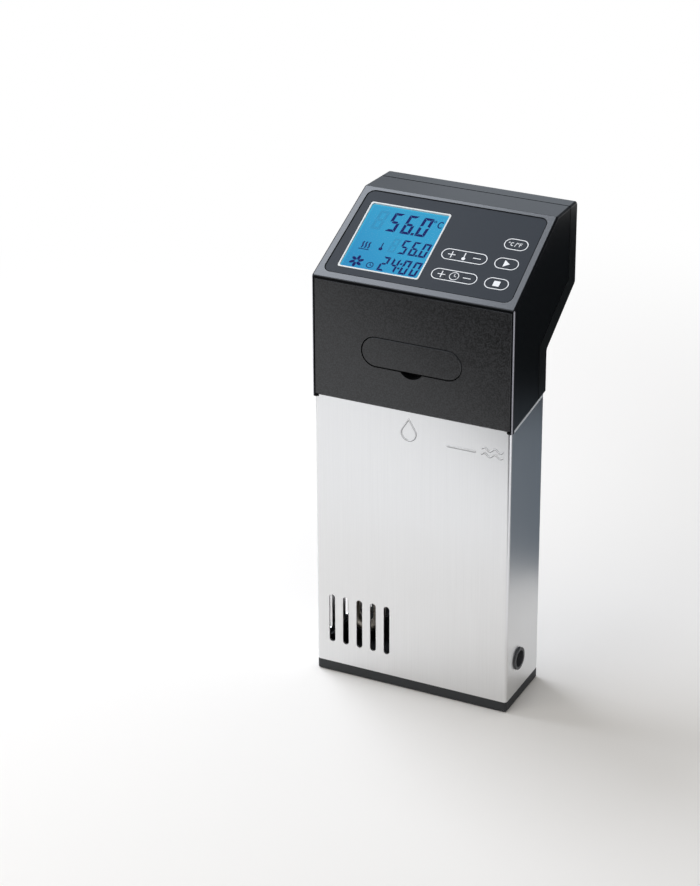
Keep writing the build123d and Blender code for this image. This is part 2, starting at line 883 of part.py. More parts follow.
def cord_gland():
    """Screwed gland through the back wall with the bore for a mains cord."""
    x, z = gland_x, seam_z + gland_height
    body = rod_y(x, back_y - gland_tail, back_y + overlap, z, gland_thread)
    body += along_y(x, back_y, z) * extrude(RegularPolygon(gland_hex, 6), amount=gland_flange)
    nose = rod_y(x, back_y + gland_flange, back_y + gland_flange + gland_nose, z, gland_thread + overlap)
    body += fillet(nose.edges().sort_by(Axis.Y)[-1], (gland_thread + overlap - gland_bore) / 2)
    return body - rod_y(x, back_y - far / 8, back_y + far / 8, z, gland_bore)


def gland_nut():
    x, z = gland_x, seam_z + gland_height
    ring = RegularPolygon(gland_hex, 6) - Circle(gland_thread + thread_gap)
    return along_y(x, back_y - housing_wall - gland_nut_height, z) * extrude(ring, amount=gland_nut_height)


def bulkhead():
    """Tub that closes the sleeve's top, with posts for the motor and pillars for the front panel."""
    step_z = seam_z + bulkhead_step
    body = tapered_box(skirt_inset, bulkhead_floor_z, step_z, inner_bend)
    body += tapered_box(upper_inset, step_z, seam_z + bulkhead_top, inner_bend)
    body -= tapered_box(upper_inset + bulkhead_wall, bulkhead_deck_z, seam_z + far)
    for x, z in panel_screw_places:
        body += block(x - pillar_width / 2, x + pillar_width / 2, pocket_back_y, pocket_back_y + pillar_depth,
                      bulkhead_deck_z - overlap, seam_z + pillar_top)
        body -= rod_y(x, pocket_back_y - overlap, pocket_back_y + far / 8, z, m3_radius + thread_gap)
    wall_y = lower_back_y - upper_inset
    for x, z in rear_low_places:
        body += rod_y(x, wall_y - rear_screw_length, wall_y, z, m3_radius + boss_wall)
        body -= rod_y(x, wall_y - rear_screw_length - overlap, wall_y + overlap, z, m3_radius + thread_gap)
    for x, z in bulkhead_screw_places:
        body += rod_y(x, wall_y - sleeve_screw_length - boss_wall, wall_y, z, m3_radius + boss_wall)
        body -= rod_y(x, wall_y - sleeve_screw_length, lower_back_y, z, m3_radius + thread_gap)
    for x, y in motor_ear_places:
        body += rod_z(x, y, bulkhead_deck_z - overlap, motor_seat_z, m3_radius + boss_wall)
        body -= rod_z(x, y, bulkhead_deck_z + boss_wall, motor_seat_z + overlap, m3_radius + thread_gap)
    holes = [(x, heater_y, heater_radius + slip_gap) for x in (heater_leg_x[0], heater_leg_x[-1])]
    holes += [(*probe_place, probe_radius + slip_gap), (pump_x, pump_y, seal_ring_radius + press_gap)]
    holes += [(x, y, electrode_bush_radius + press_gap) for x, y in electrode_places]
    for x, y, radius in holes:
        body -= rod_z(x, y, bulkhead_floor_z - overlap, bulkhead_deck_z + overlap, radius)
    groove = tapered_box(skirt_inset - overlap, seam_z + seal_low, seam_z + seal_low + seal_height)
    body -= groove - tapered_box(skirt_inset + seal_depth, seam_z + seal_low, seam_z + seal_low + seal_height)
    return body


def sleeve():
    """Folded steel sleeve with intake slots, an outlet hole and a top edge that rises to the back."""
    body = tapered_box(sleeve_inset, base_rim, seam_z + far / 8, sleeve_bend)
    body -= tapered_box(sleeve_inset + sleeve_sheet, base_rim - overlap, seam_z + far / 8, inner_bend)
    body -= Pos(0, 0, -sleeve_gap) * side_prism([
        (front_y - far, skirt_z(front_y - far)),
        (front_y - far, seam_z + far),
        (back_y + far, seam_z + far),
        (back_y + far, skirt_z(back_y + far)),
    ])
    for tab in corner_tabs(slip_gap):
        body -= tab
    for i in range(slot_count):
        x = slot_inset - half_head + i * slot_pitch
        slot = extrude(SlotOverall(slot_length, slot_width, 90), amount=far)
        body -= along_y(x, -far / 2, slot_low_z + slot_length / 2) * slot
    for i in range(side_slot_count):
        y = (i - (side_slot_count - 1) / 2) * side_slot_pitch
        plane = Plane(origin=(-far / 2, y, slot_low_z + slot_length / 2), x_dir=(0, 1, 0), z_dir=(1, 0, 0))
        body -= plane * extrude(SlotOverall(slot_length, slot_width, 90), amount=far / 2)
    body -= Pos(pump_x + far / 4, pump_y - outlet_offset, outlet_z) * Rot(0, 90, 0) * Cylinder(
        outlet_radius + slip_gap, far / 2)
    for x, z in bulkhead_screw_places + base_screw_places:
        body -= rod_y(x, 0, far / 4, z, m3_radius + screw_hole_gap)
    return body


def sleeve_seal():
    """Soft ring between the bulkhead and the sleeve."""
    low, high = seam_z + seal_low + press_gap, seam_z + seal_low + seal_height - press_gap
    ring = tapered_box(sleeve_inset + sleeve_sheet + press_gap, low, high, inner_bend)
    return ring - tapered_box(skirt_inset + seal_depth - press_gap, low - overlap, high + overlap)


def sleeve_screws():
    """Four screws in the sleeve's back: two into the bulkhead, two into the base."""
    places = bulkhead_screw_places + base_screw_places
    return [along_y(x, sleeve_back_y, z) * m3_screw(sleeve_screw_length) for x, z in places]


def base_cap():
    """Plastic foot that closes the sleeve, with the pump's intake grille."""
    body = tapered_box(sleeve_inset, 0, base_rim, sleeve_bend)
    body = chamfer(body.faces().sort_by(Axis.Z)[0].edges(), base_chamfer)
    body += tapered_box(skirt_inset, base_rim - overlap, base_rim + base_spigot, inner_bend)
    body -= tapered_box(skirt_inset + base_wall, base_plate, far)
    wall_y = lower_back_y - skirt_inset
    for x, z in base_screw_places:
        body += block(x - m3_radius - boss_wall, x + m3_radius + boss_wall,
                      wall_y - sleeve_screw_length - boss_wall, wall_y - base_wall / 2,
                      base_plate - overlap, base_rim + base_spigot)
        body -= rod_y(x, wall_y - sleeve_screw_length, lower_back_y, z, m3_radius + thread_gap)
    for i in range(intake_slots):
        off = (i - (intake_slots - 1) / 2) * intake_pitch
        length = 2 * (intake_radius ** 2 - off ** 2) ** 0.5
        slot = extrude(SlotOverall(length, intake_slot_width), amount=base_plate + 2 * overlap)
        body -= Pos(pump_x, pump_y + off, -overlap) * slot
    return body


def heating_element():
    """Tubular element bent into four legs, with its pins on the dry side."""
    first, second, third, last = heater_leg_x
    top = bulkhead_deck_z + heater_stub
    corners = [
        (first, heater_y, top),
        (first, heater_y, heater_low_z),
        (second, heater_y, heater_low_z),
        (second, heater_y, heater_high_z),
        (third, heater_y, heater_high_z),
        (third, heater_y, heater_low_z),
        (last, heater_y, heater_low_z),
        (last, heater_y, top),
    ]
    path = FilletPolyline(*corners, radius=heater_bend)
    body = sweep(Plane(origin=corners[0], z_dir=(0, 0, -1)) * Circle(heater_radius), path=path)
    for x in (first, last):
        body += rod_z(x, heater_y, top - overlap, top + heater_pin_length, heater_pin_radius)
    return body


def heater_nuts():
    ends = (heater_leg_x[0], heater_leg_x[-1])
    return [Pos(x, heater_y, bulkhead_deck_z) * hex_nut(heater_radius + thread_gap, nut_height) for x in ends]


def temperature_probe():
    """Closed steel tube that reaches into the water."""
    tube = rod_z(*probe_place, probe_tip_z, bulkhead_deck_z + probe_stub, probe_radius)
    return fillet(tube.edges().sort_by(Axis.Z)[0], probe_radius * 0.8)


def probe_nut():
    return Pos(*probe_place, bulkhead_deck_z) * hex_nut(probe_radius + thread_gap, nut_height)


def level_electrodes():
    """Two rods that sense the lowest water level."""
    return [rod_z(x, y, electrode_tip_z, bulkhead_deck_z + electrode_stub, electrode_radius)
            for x, y in electrode_places]


def electrode_bushes():
    """Insulating bushes of the level electrodes."""
    bushes = []
    for x, y in electrode_places:
        bush = rod_z(x, y, bulkhead_floor_z - electrode_bush_lip, bulkhead_deck_z, electrode_bush_radius)
        bush += rod_z(x, y, bulkhead_deck_z, bulkhead_deck_z + electrode_bush_lip, electrode_bush_flange)
        bushes.append(bush - rod_z(x, y, 0, far, electrode_radius + press_gap))
    return bushes


def motor_ring(z0, z1, outer, inner):
    """Ring about the motor's axis."""
    return rod_z(pump_x, pump_y, z0, z1, outer) - rod_z(pump_x, pump_y, z0 - overlap, z1 + overlap, inner)


def motor_can():
    """Motor shell with two ears that sit on the bulkhead's posts."""
    body = motor_ring(motor_seat_z, motor_top_z, motor_radius, motor_radius - motor_wall)
    floor = rod_z(pump_x, pump_y, motor_seat_z, motor_seat_z + motor_floor, motor_radius)
    for x, y in motor_ear_places:
        floor += rod_z(x, y, motor_seat_z, motor_seat_z + motor_floor, motor_ear_radius)
        middle = Pos((x + pump_x) / 2, (y + pump_y) / 2, motor_seat_z + motor_floor / 2)
        web = Box(motor_ear_reach, 2 * motor_ear_radius, motor_floor)
        floor += middle * Rot(0, 0, -motor_ear_angle) * web
    for x, y in motor_ear_places:
        floor -= rod_z(x, y, motor_seat_z - overlap, motor_top_z, m3_radius + screw_hole_gap)
    body += floor
    return body - rod_z(pump_x, pump_y, motor_seat_z - overlap, motor_top_z, shaft_radius + running_gap)


def motor_magnets():
    """Two curved magnets inside the shell."""
    outer = motor_radius - motor_wall - press_gap
    low, high = motor_seat_z + motor_floor, motor_top_z
    magnets = []
    for start in (-magnet_arc / 2, 180 - magnet_arc / 2):
        arc = CenterArc((0, 0), outer, start, magnet_arc)
        back = CenterArc((0, 0), outer - magnet_thickness, start + magnet_arc, -magnet_arc)
        outline = arc + Line(arc @ 1, back @ 0) + back + Line(back @ 1, arc @ 0)
        magnets.append(Pos(pump_x, pump_y, low) * extrude(make_face(outline), amount=high - low))
    return magnets


def motor_end_cap():
    """Cap on top of the motor with the upper bearing."""
    cap = rod_z(pump_x, pump_y, motor_top_z, motor_top_z + motor_cap_height, motor_radius)
    cap = fillet(cap.edges().sort_by(Axis.Z)[-1], motor_wall)
    return cap - rod_z(pump_x, pump_y, motor_top_z - overlap, motor_top_z + far, shaft_radius + running_gap)


def motor_screws():
    seat = motor_seat_z + motor_floor
    return [Pos(x, y, seat) * m3_screw(motor_screw_length) for x, y in motor_ear_places]


def motor_rotor():
    """Laminated rotor on the motor shaft."""
    outer = motor_radius - motor_wall - magnet_thickness - press_gap - rotor_gap
    middle = motor_seat_z + motor_floor + (motor_length - motor_floor) / 2
    return motor_ring(middle - rotor_length / 2, middle + rotor_length / 2, outer, shaft_radius + press_gap)


def motor_shaft():
    top = motor_top_z + motor_cap_height + shaft_stub
    return rod_z(pump_x, pump_y, coupling_z + shaft_end_gap / 2, top, shaft_radius)


def shaft_coupling():
    """Sleeve that joins the motor shaft to the pump shaft."""
    low, high = coupling_z - coupling_length / 2, coupling_z + coupling_length / 2
    body = rod_z(pump_x, pump_y, low, high, coupling_radius)
    body = fillet(body.edges().filter_by(GeomType.CIRCLE), coupling_edge)
    return body - rod_z(pump_x, pump_y, low - overlap, high + overlap, shaft_radius + press_gap)


def pump_shaft():
    return rod_z(pump_x, pump_y, impeller_low_z, coupling_z - shaft_end_gap / 2, shaft_radius)


def shaft_seal():
    """Lip seal pressed into the bulkhead."""
    body = motor_ring(bulkhead_floor_z, bulkhead_deck_z, seal_ring_radius, shaft_radius + running_gap)
    return body + motor_ring(bulkhead_deck_z, bulkhead_deck_z + seal_ring_lip, seal_ring_flange,
                             shaft_radius + running_gap)


def pump_column():
    """Tube that holds the pump below the bulkhead."""
    body = motor_ring(volute_top_z, bulkhead_floor_z, column_radius, column_bore)
    return body + motor_ring(bulkhead_floor_z - column_flange_height, bulkhead_floor_z, column_flange,
                             column_bore)


def pump_bush():
    """Bearing for the pump shaft in the column's lower end."""
    return motor_ring(volute_top_z, volute_top_z + bush_length, column_bore - press_gap,
                      shaft_radius + running_gap)


def pump_housing():
    """Round chamber with a tangential outlet through the sleeve's right side."""
    chamber = volute_radius - volute_wall
    end = half_width(pump_y - outlet_offset, sleeve_inset) + outlet_proud
    nozzle = Pos(pump_x, pump_y - outlet_offset, outlet_z) * Rot(0, 90, 0)
    reach = end - pump_x
    body = rod_z(pump_x, pump_y, volute_low_z, volute_top_z, volute_radius)
    body += nozzle * Pos(0, 0, reach / 2) * Cylinder(outlet_radius, reach)
    body -= rod_z(pump_x, pump_y, volute_low_z + volute_wall, volute_top_z - volute_wall, chamber)
    body -= rod_z(pump_x, pump_y, 0, volute_low_z + volute_wall + overlap, volute_eye)
    body -= nozzle * Pos(0, 0, reach / 2 + overlap) * Cylinder(outlet_bore, reach)
    return body - rod_z(pump_x, pump_y, volute_low_z, far, shaft_radius + stem_gap)


def impeller():
    """Disc with straight blades below it, on the pump shaft."""
    top = impeller_low_z + impeller_height
    body = rod_z(pump_x, pump_y, top - impeller_disc, top, impeller_radius)
    body += rod_z(pump_x, pump_y, impeller_low_z, top, impeller_hub)
    for i in range(impeller_blades):
        blade = block(impeller_hub / 2, impeller_radius, -blade_thickness / 2, blade_thickness / 2, 0,
                      impeller_height)
        body += Pos(pump_x, pump_y, impeller_low_z) * Rot(0, 0, i * 360 / impeller_blades) * blade
    return body - rod_z(pump_x, pump_y, 0, far, shaft_radius + press_gap)


def clamp_bracket():
    """Arm that hangs from the overhang and carries the clamp screw."""
    arm = block(-clamp_arm_width / 2, clamp_arm_width / 2, clamp_arm_front, clamp_arm_back,
                seam_z + clamp_arm_low, seam_z + back_edge_height)
    foot = arm.faces().sort_by(Axis.Z)[0]
    arm = fillet(arm.edges().filter_by(Axis.Z) + foot.edges().filter_by(Axis.Y), bracket_round)
    flange = slant * Pos(0, clamp_flange_length / 2, clamp_flange_thickness / 2) * Box(
        clamp_flange_width, clamp_flange_length, clamp_flange_thickness)
    corners = flange.edges().filter_by(lambda edge: abs(edge.length - clamp_flange_thickness) < running_gap)
    body = arm + fillet(corners, bracket_round)
    body += rod_y(0, clamp_boss_front, clamp_boss_back, clamp_z, clamp_boss_radius)
    body -= rod_y(0, clamp_boss_front - overlap, clamp_boss_back + overlap, clamp_z,
                  clamp_screw_radius + running_gap)
    body -= slant * Pos(0, 0, -far / 4) * Box(far, far, far / 2)
    for x, back in bracket_screw_places:
        body -= slant * Pos(x, back, 0) * Cylinder(m3_radius + screw_hole_gap, far / 8)
    return body


def bracket_screws():
    """Two screws through the bracket's flange into the rear cover."""
    return [slant * Pos(x, back, clamp_flange_thickness) * m3_screw(bracket_screw_length)
            for x, back in bracket_screw_places]


def body_pad():
    """Rubber pad on the back of the lower body, against the pot wall."""
    width, thickness, height = body_pad_size
    pad = block(-width / 2, width / 2, lower_back_y, lower_back_y + thickness,
                seam_z + body_pad_height - height / 2, seam_z + body_pad_height + height / 2)
    return fillet(pad.edges().filter_by(Axis.Y), pad_corner)


def clamp_pad():
    """Round pad that the clamp screw pushes against the pot wall."""
    pad = rod_y(0, clamp_face_y, clamp_pad_back, clamp_z, clamp_pad_radius)
    pad = fillet(pad.edges(), pad_edge)
    socket = clamp_tip_length + running_gap
    return pad - rod_y(0, clamp_pad_back - socket, clamp_pad_back + overlap, clamp_z,
                       clamp_tip_radius + running_gap)


def clamp_screw():
    """Threaded spindle with a plain tip that turns in the clamp pad."""
    tip = rod_y(0, clamp_pad_back - clamp_tip_length, clamp_pad_back + overlap, clamp_z, clamp_tip_radius)
    return tip + rod_y(0, clamp_pad_back + slip_gap, knob_front + knob_length, clamp_z, clamp_screw_radius)


def clamp_knob():
    """Lobed knob on the spindle's outer end."""
    shape = Circle(knob_radius - knob_lobe_radius / 2)
    for i in range(knob_lobes):
        turn = radians(i * 360 / knob_lobes)
        reach = knob_radius - knob_lobe_radius
        shape += Pos(reach * cos(turn), reach * sin(turn)) * Circle(knob_lobe_radius)
    body = along_y(0, knob_front, clamp_z) * extrude(shape, amount=knob_length)
    body = chamfer(body.faces().sort_by(Axis.Y)[-1].edges(), knob_chamfer)
    return body - rod_y(0, knob_front - overlap, knob_front + far, clamp_z, clamp_screw_radius + press_gap)


shell = head_shell()
nodes = {
    "main_housing": main_housing(shell),
    "rear_cover": rear_cover(shell),
    "front_panel": front_panel(),
    "screw_cover": screw_cover(),
    "panel_screws": panel_screws(),
    "rear_cover_screws": rear_cover_screws(),
    "control_overlay": control_overlay(),
    "display_bezel": display_bezel(),
    "display_lens": display_lens(),
    "lcd_panel": lcd_panel(),
    "lcd_backlight": lcd_backlight(),
    "control_board": control_board(),
    "tact_switches": tact_switches(),
    "board_screws": board_screws(),
    "power_board": power_board(),
    "transformer": transformer(),
    "relay": relay(),
    "capacitors": capacitors(),
    "heat_sink": heat_sink(),
    "triac": triac(),
    "terminal_block": terminal_block(),
    "cord_gland": cord_gland(),
    "gland_nut": gland_nut(),
    "bulkhead": bulkhead(),
    "sleeve": sleeve(),
    "sleeve_seal": sleeve_seal(),
    "sleeve_screws": sleeve_screws(),
    "base_cap": base_cap(),
    "heating_element": heating_element(),
    "heater_nuts": heater_nuts(),
    "temperature_probe": temperature_probe(),
    "probe_nut": probe_nut(),
    "level_electrodes": level_electrodes(),
    "electrode_bushes": electrode_bushes(),
    "motor_can": motor_can(),
    "motor_magnets": motor_magnets(),
    "motor_end_cap": motor_end_cap(),
    "motor_screws": motor_screws(),
    "motor_rotor": motor_rotor(),
    "motor_shaft": motor_shaft(),
    "shaft_coupling": shaft_coupling(),
    "pump_shaft": pump_shaft(),
    "shaft_seal": shaft_seal(),
    "pump_column": pump_column(),
    "pump_bush": pump_bush(),
    "pump_housing": pump_housing(),
    "impeller": impeller(),
    "clamp_bracket": clamp_bracket(),
    "bracket_screws": bracket_screws(),
    "body_pad": body_pad(),
    "clamp_pad": clamp_pad(),
    "clamp_screw": clamp_screw(),
    "clamp_knob": clamp_knob(),
}
for name in key_places:
    nodes[name] = key(name)

os.makedirs("parts", exist_ok=True)
for name, shape in nodes.items():
    solids = shape if isinstance(shape, list) else [shape]
    export_step(Compound(children=[Part(solid.wrapped) for solid in solids]), f"parts/{name}.step")
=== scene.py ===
import json
import math

import bmesh
import bpy
from mathutils import Matrix, Vector
from mathutils.geometry import convex_hull_2d


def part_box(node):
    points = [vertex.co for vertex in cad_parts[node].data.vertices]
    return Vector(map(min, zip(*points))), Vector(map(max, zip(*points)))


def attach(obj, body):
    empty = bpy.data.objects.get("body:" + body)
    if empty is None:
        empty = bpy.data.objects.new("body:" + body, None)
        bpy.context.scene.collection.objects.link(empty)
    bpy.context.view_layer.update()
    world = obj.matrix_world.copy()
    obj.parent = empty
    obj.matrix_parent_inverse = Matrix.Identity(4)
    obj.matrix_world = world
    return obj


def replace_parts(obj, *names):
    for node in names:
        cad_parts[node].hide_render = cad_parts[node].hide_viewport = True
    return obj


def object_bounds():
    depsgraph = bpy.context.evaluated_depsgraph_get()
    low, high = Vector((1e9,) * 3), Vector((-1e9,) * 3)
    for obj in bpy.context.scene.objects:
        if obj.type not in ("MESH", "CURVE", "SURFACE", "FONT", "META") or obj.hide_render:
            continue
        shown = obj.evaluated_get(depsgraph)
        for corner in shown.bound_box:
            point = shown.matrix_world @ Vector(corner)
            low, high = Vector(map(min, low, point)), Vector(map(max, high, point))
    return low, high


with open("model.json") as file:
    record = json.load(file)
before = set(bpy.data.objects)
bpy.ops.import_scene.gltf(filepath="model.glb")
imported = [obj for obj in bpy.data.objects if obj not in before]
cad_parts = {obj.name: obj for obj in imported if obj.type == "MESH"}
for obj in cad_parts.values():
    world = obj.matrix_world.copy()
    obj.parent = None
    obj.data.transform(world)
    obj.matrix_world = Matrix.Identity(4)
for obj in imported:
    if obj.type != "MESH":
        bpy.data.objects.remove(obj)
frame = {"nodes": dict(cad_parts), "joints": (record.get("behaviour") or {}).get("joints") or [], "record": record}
cad_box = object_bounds()

MM = 0.001
ACROSS = Vector((1, 0, 0))
FRONT = Vector((0, -1, 0))
UP = Vector((0, 0, 1))


# Finishes

def linear(colour):
    """An sRGB hex colour as the linear values that shader sockets take."""
    parts = [int(colour[i:i + 2], 16) / 255 for i in (1, 3, 5)]
    return [c / 12.92 if c <= 0.04045 else ((c + 0.055) / 1.055) ** 2.4 for c in parts] + [1.0]


def node(tree, kind, inputs=None, **settings):
    """Adds one shader node; an input is a plain value, or another node's socket that is linked to it."""
    made = tree.nodes.new("ShaderNode" + kind)
    for name, value in settings.items():
        setattr(made, name, value)
    for name, value in (inputs or {}).items():
        if isinstance(value, bpy.types.NodeSocket):
            tree.links.new(value, made.inputs[name])
        else:
            made.inputs[name].default_value = value
    return made


def empty_material(name):
    """A new material without nodes, and its tree."""
    made = bpy.data.materials.new(name)
    made.use_nodes = True
    made.node_tree.nodes.clear()
    return made, made.node_tree


def grained(name, cell, shades, roughness, relief, detail=2.0, trim=0.0, **sockets):
    """A surface with an irregular grain. Its cells are this many millimetres along x, y and z, vary the
    colour between two shades and the roughness between two values, and stand out by relief millimetres. A
    trim up to 0.5 cuts the ends off the grain's range, which makes its spots harder."""
    made, tree = empty_material(name)
    place = node(tree, "TexCoord").outputs["Object"]
    scaled = node(tree, "Mapping", {"Vector": place, "Scale": [1 / (side * MM) for side in cell]})
    noise = node(tree, "TexNoise", {"Vector": scaled.outputs["Vector"], "Scale": 1.0, "Detail": detail})
    grain = node(tree, "MapRange", {
        "Value": noise.outputs["Fac"], "From Min": trim, "From Max": 1 - trim}).outputs["Result"]
    dark, light = (linear(shade) for shade in shades)
    low, high = roughness
    colour = node(tree, "MixRGB", {"Fac": grain, "Color1": dark, "Color2": light})
    rough = node(tree, "MapRange", {"Value": grain, "To Min": low, "To Max": high})
    bump = node(tree, "Bump", {"Height": grain, "Distance": relief * MM})
    shader = node(tree, "BsdfPrincipled", {
        "Base Color": colour.outputs["Color"],
        "Roughness": rough.outputs["Result"],
        "Normal": bump.outputs["Normal"],
        **sockets,
    })
    node(tree, "OutputMaterial", {"Surface": shader.outputs["BSDF"]})
    return made


# A pixel of the main view is about 0.5 mm, so real grains finer than about 0.2 mm are drawn coarser than
# they are, at 0.25 to 0.9 mm, to show
finishes = {
    # Satin black: the smooth tool leaves a soft sheen that turns grey under the lamp
    "hood_plastic": grained(
        "ABS moulded satin", (0.6, 0.6, 0.6), ("#090a0c", "#101113"), (0.26, 0.34), 0.002, IOR=1.53),
    # Spark eroded tool: half matt with a fine sparkle; the real 0.1 mm grit is drawn at 0.7 mm to show
    "panel_plastic": grained(
        "ABS moulded spark texture", (0.7, 0.7, 0.7), ("#000000", "#26272a"), (0.33, 0.44), 0.013, trim=0.38,
        **{"Specular IOR Level": 0.6}),
    # Back-printed polyester: anthracite under a fine matt lacquer
    "overlay_foil": grained(
        "Polyester foil fine matt", (0.4, 0.4, 0.4), ("#14181e", "#1d232a"), (0.5, 0.6), 0.004,
        **{"Specular IOR Level": 0.2}),
    # Smooth white border that catches the display's light
    "border_white": grained(
        "ABS moulded white", (1.5, 1.5, 1.5), ("#c6c6c1", "#d4d4cf"), (0.4, 0.5), 0.002, IOR=1.53),
    # Opal diffuser: milky white, faintly cloudy
    "light_guide": grained(
        "Acrylic opal sheet", (3.0, 3.0, 3.0), ("#dde3e8", "#eef1f3"), (0.4, 0.5), 0.002, IOR=1.49),
    # Green solder mask, slightly wavy over the tracks below
    "board_green": grained(
        "Epoxy glass solder mask", (2.5, 2.5, 2.5), ("#0b4a24", "#15692f"), (0.3, 0.45), 0.01, IOR=1.55),
    # Black component cases, plain and matt
    "component_black": grained(
        "Epoxy moulded case", (0.8, 0.8, 0.8), ("#151516", "#232325"), (0.5, 0.65), 0.01, IOR=1.55),
    # Zinc plate: bright bluish grey, slightly patchy
    "screw_steel": grained(
        "Steel zinc plated", (0.8, 0.8, 0.8), ("#b4b7bd", "#d2d4d8"), (0.28, 0.42), 0.004, Metallic=1.0),
    # Stacked sheets: dark grey with the sheet edges showing as lines across the stack
    "core_steel": grained(
        "Silicon steel laminated", (20.0, 0.7, 20.0), ("#4c4d50", "#86878a"), (0.45, 0.6), 0.03,
        Metallic=1.0),
    # Shrink sleeve: dark blue, glossy
    "capacitor_sleeve": grained(
        "PVC shrink sleeve", (4.0, 4.0, 4.0), ("#14213f", "#1d2f5c"), (0.25, 0.35), 0.01, IOR=1.54),
    # Extruded fins: long die lines in pale metal
    "sink_aluminium": grained(
        "Aluminium extruded", (0.4, 15.0, 0.4), ("#c4c6ca", "#e0e1e4"), (0.3, 0.45), 0.006, Metallic=1.0),
    # Terminal housing: plain green, half matt
    "terminal_green": grained(
        "Polyamide moulded green", (0.8, 0.8, 0.8), ("#136b34", "#1d8443"), (0.4, 0.55), 0.008, IOR=1.53),
    # Nylon gland: black with a faint waxy sheen
    "gland_nylon": grained(
        "Polyamide moulded black", (0.9, 0.9, 0.9), ("#141415", "#1f2021"), (0.42, 0.55), 0.008, IOR=1.53),
    # Glass filled resin: charcoal, cloudy from the fibres
    "wet_resin": grained(
        "PPS glass filled", (1.2, 1.2, 1.2), ("#2a2b2d", "#414245"), (0.5, 0.65), 0.012, IOR=1.65),
    # Silicone: brick red, soft and dull
    "seal_silicone": grained(
        "Silicone moulded red", (2.0, 2.0, 2.0), ("#a33424", "#b8402e"), (0.55, 0.7), 0.008, IOR=1.41),
    # Textured foot, a little greyer than the hood
    "base_plastic": grained(
        "Polypropylene moulded texture", (0.5, 0.5, 0.5), ("#161718", "#292a2c"), (0.55, 0.72), 0.02,
        IOR=1.49),
    # Heater tube: drawn lengthways, straw tinted by heat
    "element_steel": grained(
        "Stainless steel drawn tube", (0.5, 0.5, 12.0), ("#9b948a", "#c2bbb0"), (0.3, 0.45), 0.006,
        Metallic=1.0),
    # Turned brass: yellow metal with fine rings from the tool
    "nut_brass": grained(
        "Brass turned", (3.0, 3.0, 0.3), ("#b58a44", "#d6ab62"), (0.25, 0.38), 0.005, Metallic=1.0),
    # Insulating bush: waxy white with faint turning rings
    "insulator_white": grained(
        "PTFE turned", (3.0, 3.0, 0.4), ("#dcdcd8", "#f0f0ec"), (0.4, 0.55), 0.005, IOR=1.38),
    # Deep drawn can: grey with long draw lines
    "motor_steel": grained(
        "Steel drawn can", (1.0, 1.0, 14.0), ("#8d8e92", "#b2b3b7"), (0.35, 0.5), 0.006, Metallic=1.0),
    # Sintered magnet: dark, dusty grey
    "magnet_grey": grained(
        "Ferrite sintered", (0.6, 0.6, 0.6), ("#2c2d30", "#4b4c50"), (0.6, 0.8), 0.02, IOR=2.3),
    # Ground shaft: fine rings round a bright bar
    "shaft_steel": grained(
        "Steel ground bar", (6.0, 0.25, 6.0), ("#b9bbbf", "#d6d8da"), (0.22, 0.34), 0.004, Metallic=1.0),
    # Glass filled nylon of the clamp arm: black, slightly mottled
    "bracket_nylon": grained(
        "Polyamide glass filled", (0.8, 0.8, 0.8), ("#131415", "#242527"), (0.5, 0.66), 0.015, IOR=1.53),
    # Soft rubber: deep matt black with a fine skin
    "pad_rubber": grained(
        "Rubber moulded", (0.5, 0.5, 0.5), ("#161617", "#232324"), (0.75, 0.9), 0.03, IOR=1.52),
    # Knob: same texture as the foot, worn a little smoother by fingers
    "knob_plastic": grained(
        "Polyamide moulded texture", (0.5, 0.5, 0.5), ("#141516", "#242527"), (0.45, 0.6), 0.02, IOR=1.53),
    # Brushed sheet: pale satin with upright hairlines; 0.1 mm scratches are drawn at 0.4 mm to show
    "sleeve_steel": grained(
        "Stainless steel brushed", (0.4, 0.4, 40.0), ("#dadada", "#e3e3e3"), (0.3, 0.38), 0.002,
        detail=4.0, Metallic=1.0),
}


def clear_window(name):
    """Clear acrylic with an anti-glare coat: nearly all light passes, and a light scuff shows its surface."""
    scuff_size = 4.0
    made, tree = empty_material(name)
    place = node(tree, "TexCoord").outputs["Object"]
    scuff = node(tree, "TexNoise", {"Vector": place, "Scale": 1 / (scuff_size * MM), "Detail": 3.0})
    rough = node(tree, "MapRange", {"Value": scuff.outputs["Fac"], "To Min": 0.2, "To Max": 0.35})
    shader = node(tree, "BsdfPrincipled", {
        "Base Color": linear("#0e1418"),
        "Roughness": rough.outputs["Result"],
        "IOR": 1.49,
        "Alpha": 0.03,
    })
    node(tree, "OutputMaterial", {"Surface": shader.outputs["BSDF"]})
    return made


finishes["display_window"] = clear_window("Acrylic cast window")


def principled(material):
    """The surface shader of a finish."""
    return next(step for step in material.node_tree.nodes if step.type == "BSDF_PRINCIPLED")


def face_normal(tree):
    """Sockets with the surface's direction along X, Y and Z."""
    return node(tree, "SeparateXYZ", {"Vector": node(tree, "NewGeometry").outputs["Normal"]}).outputs


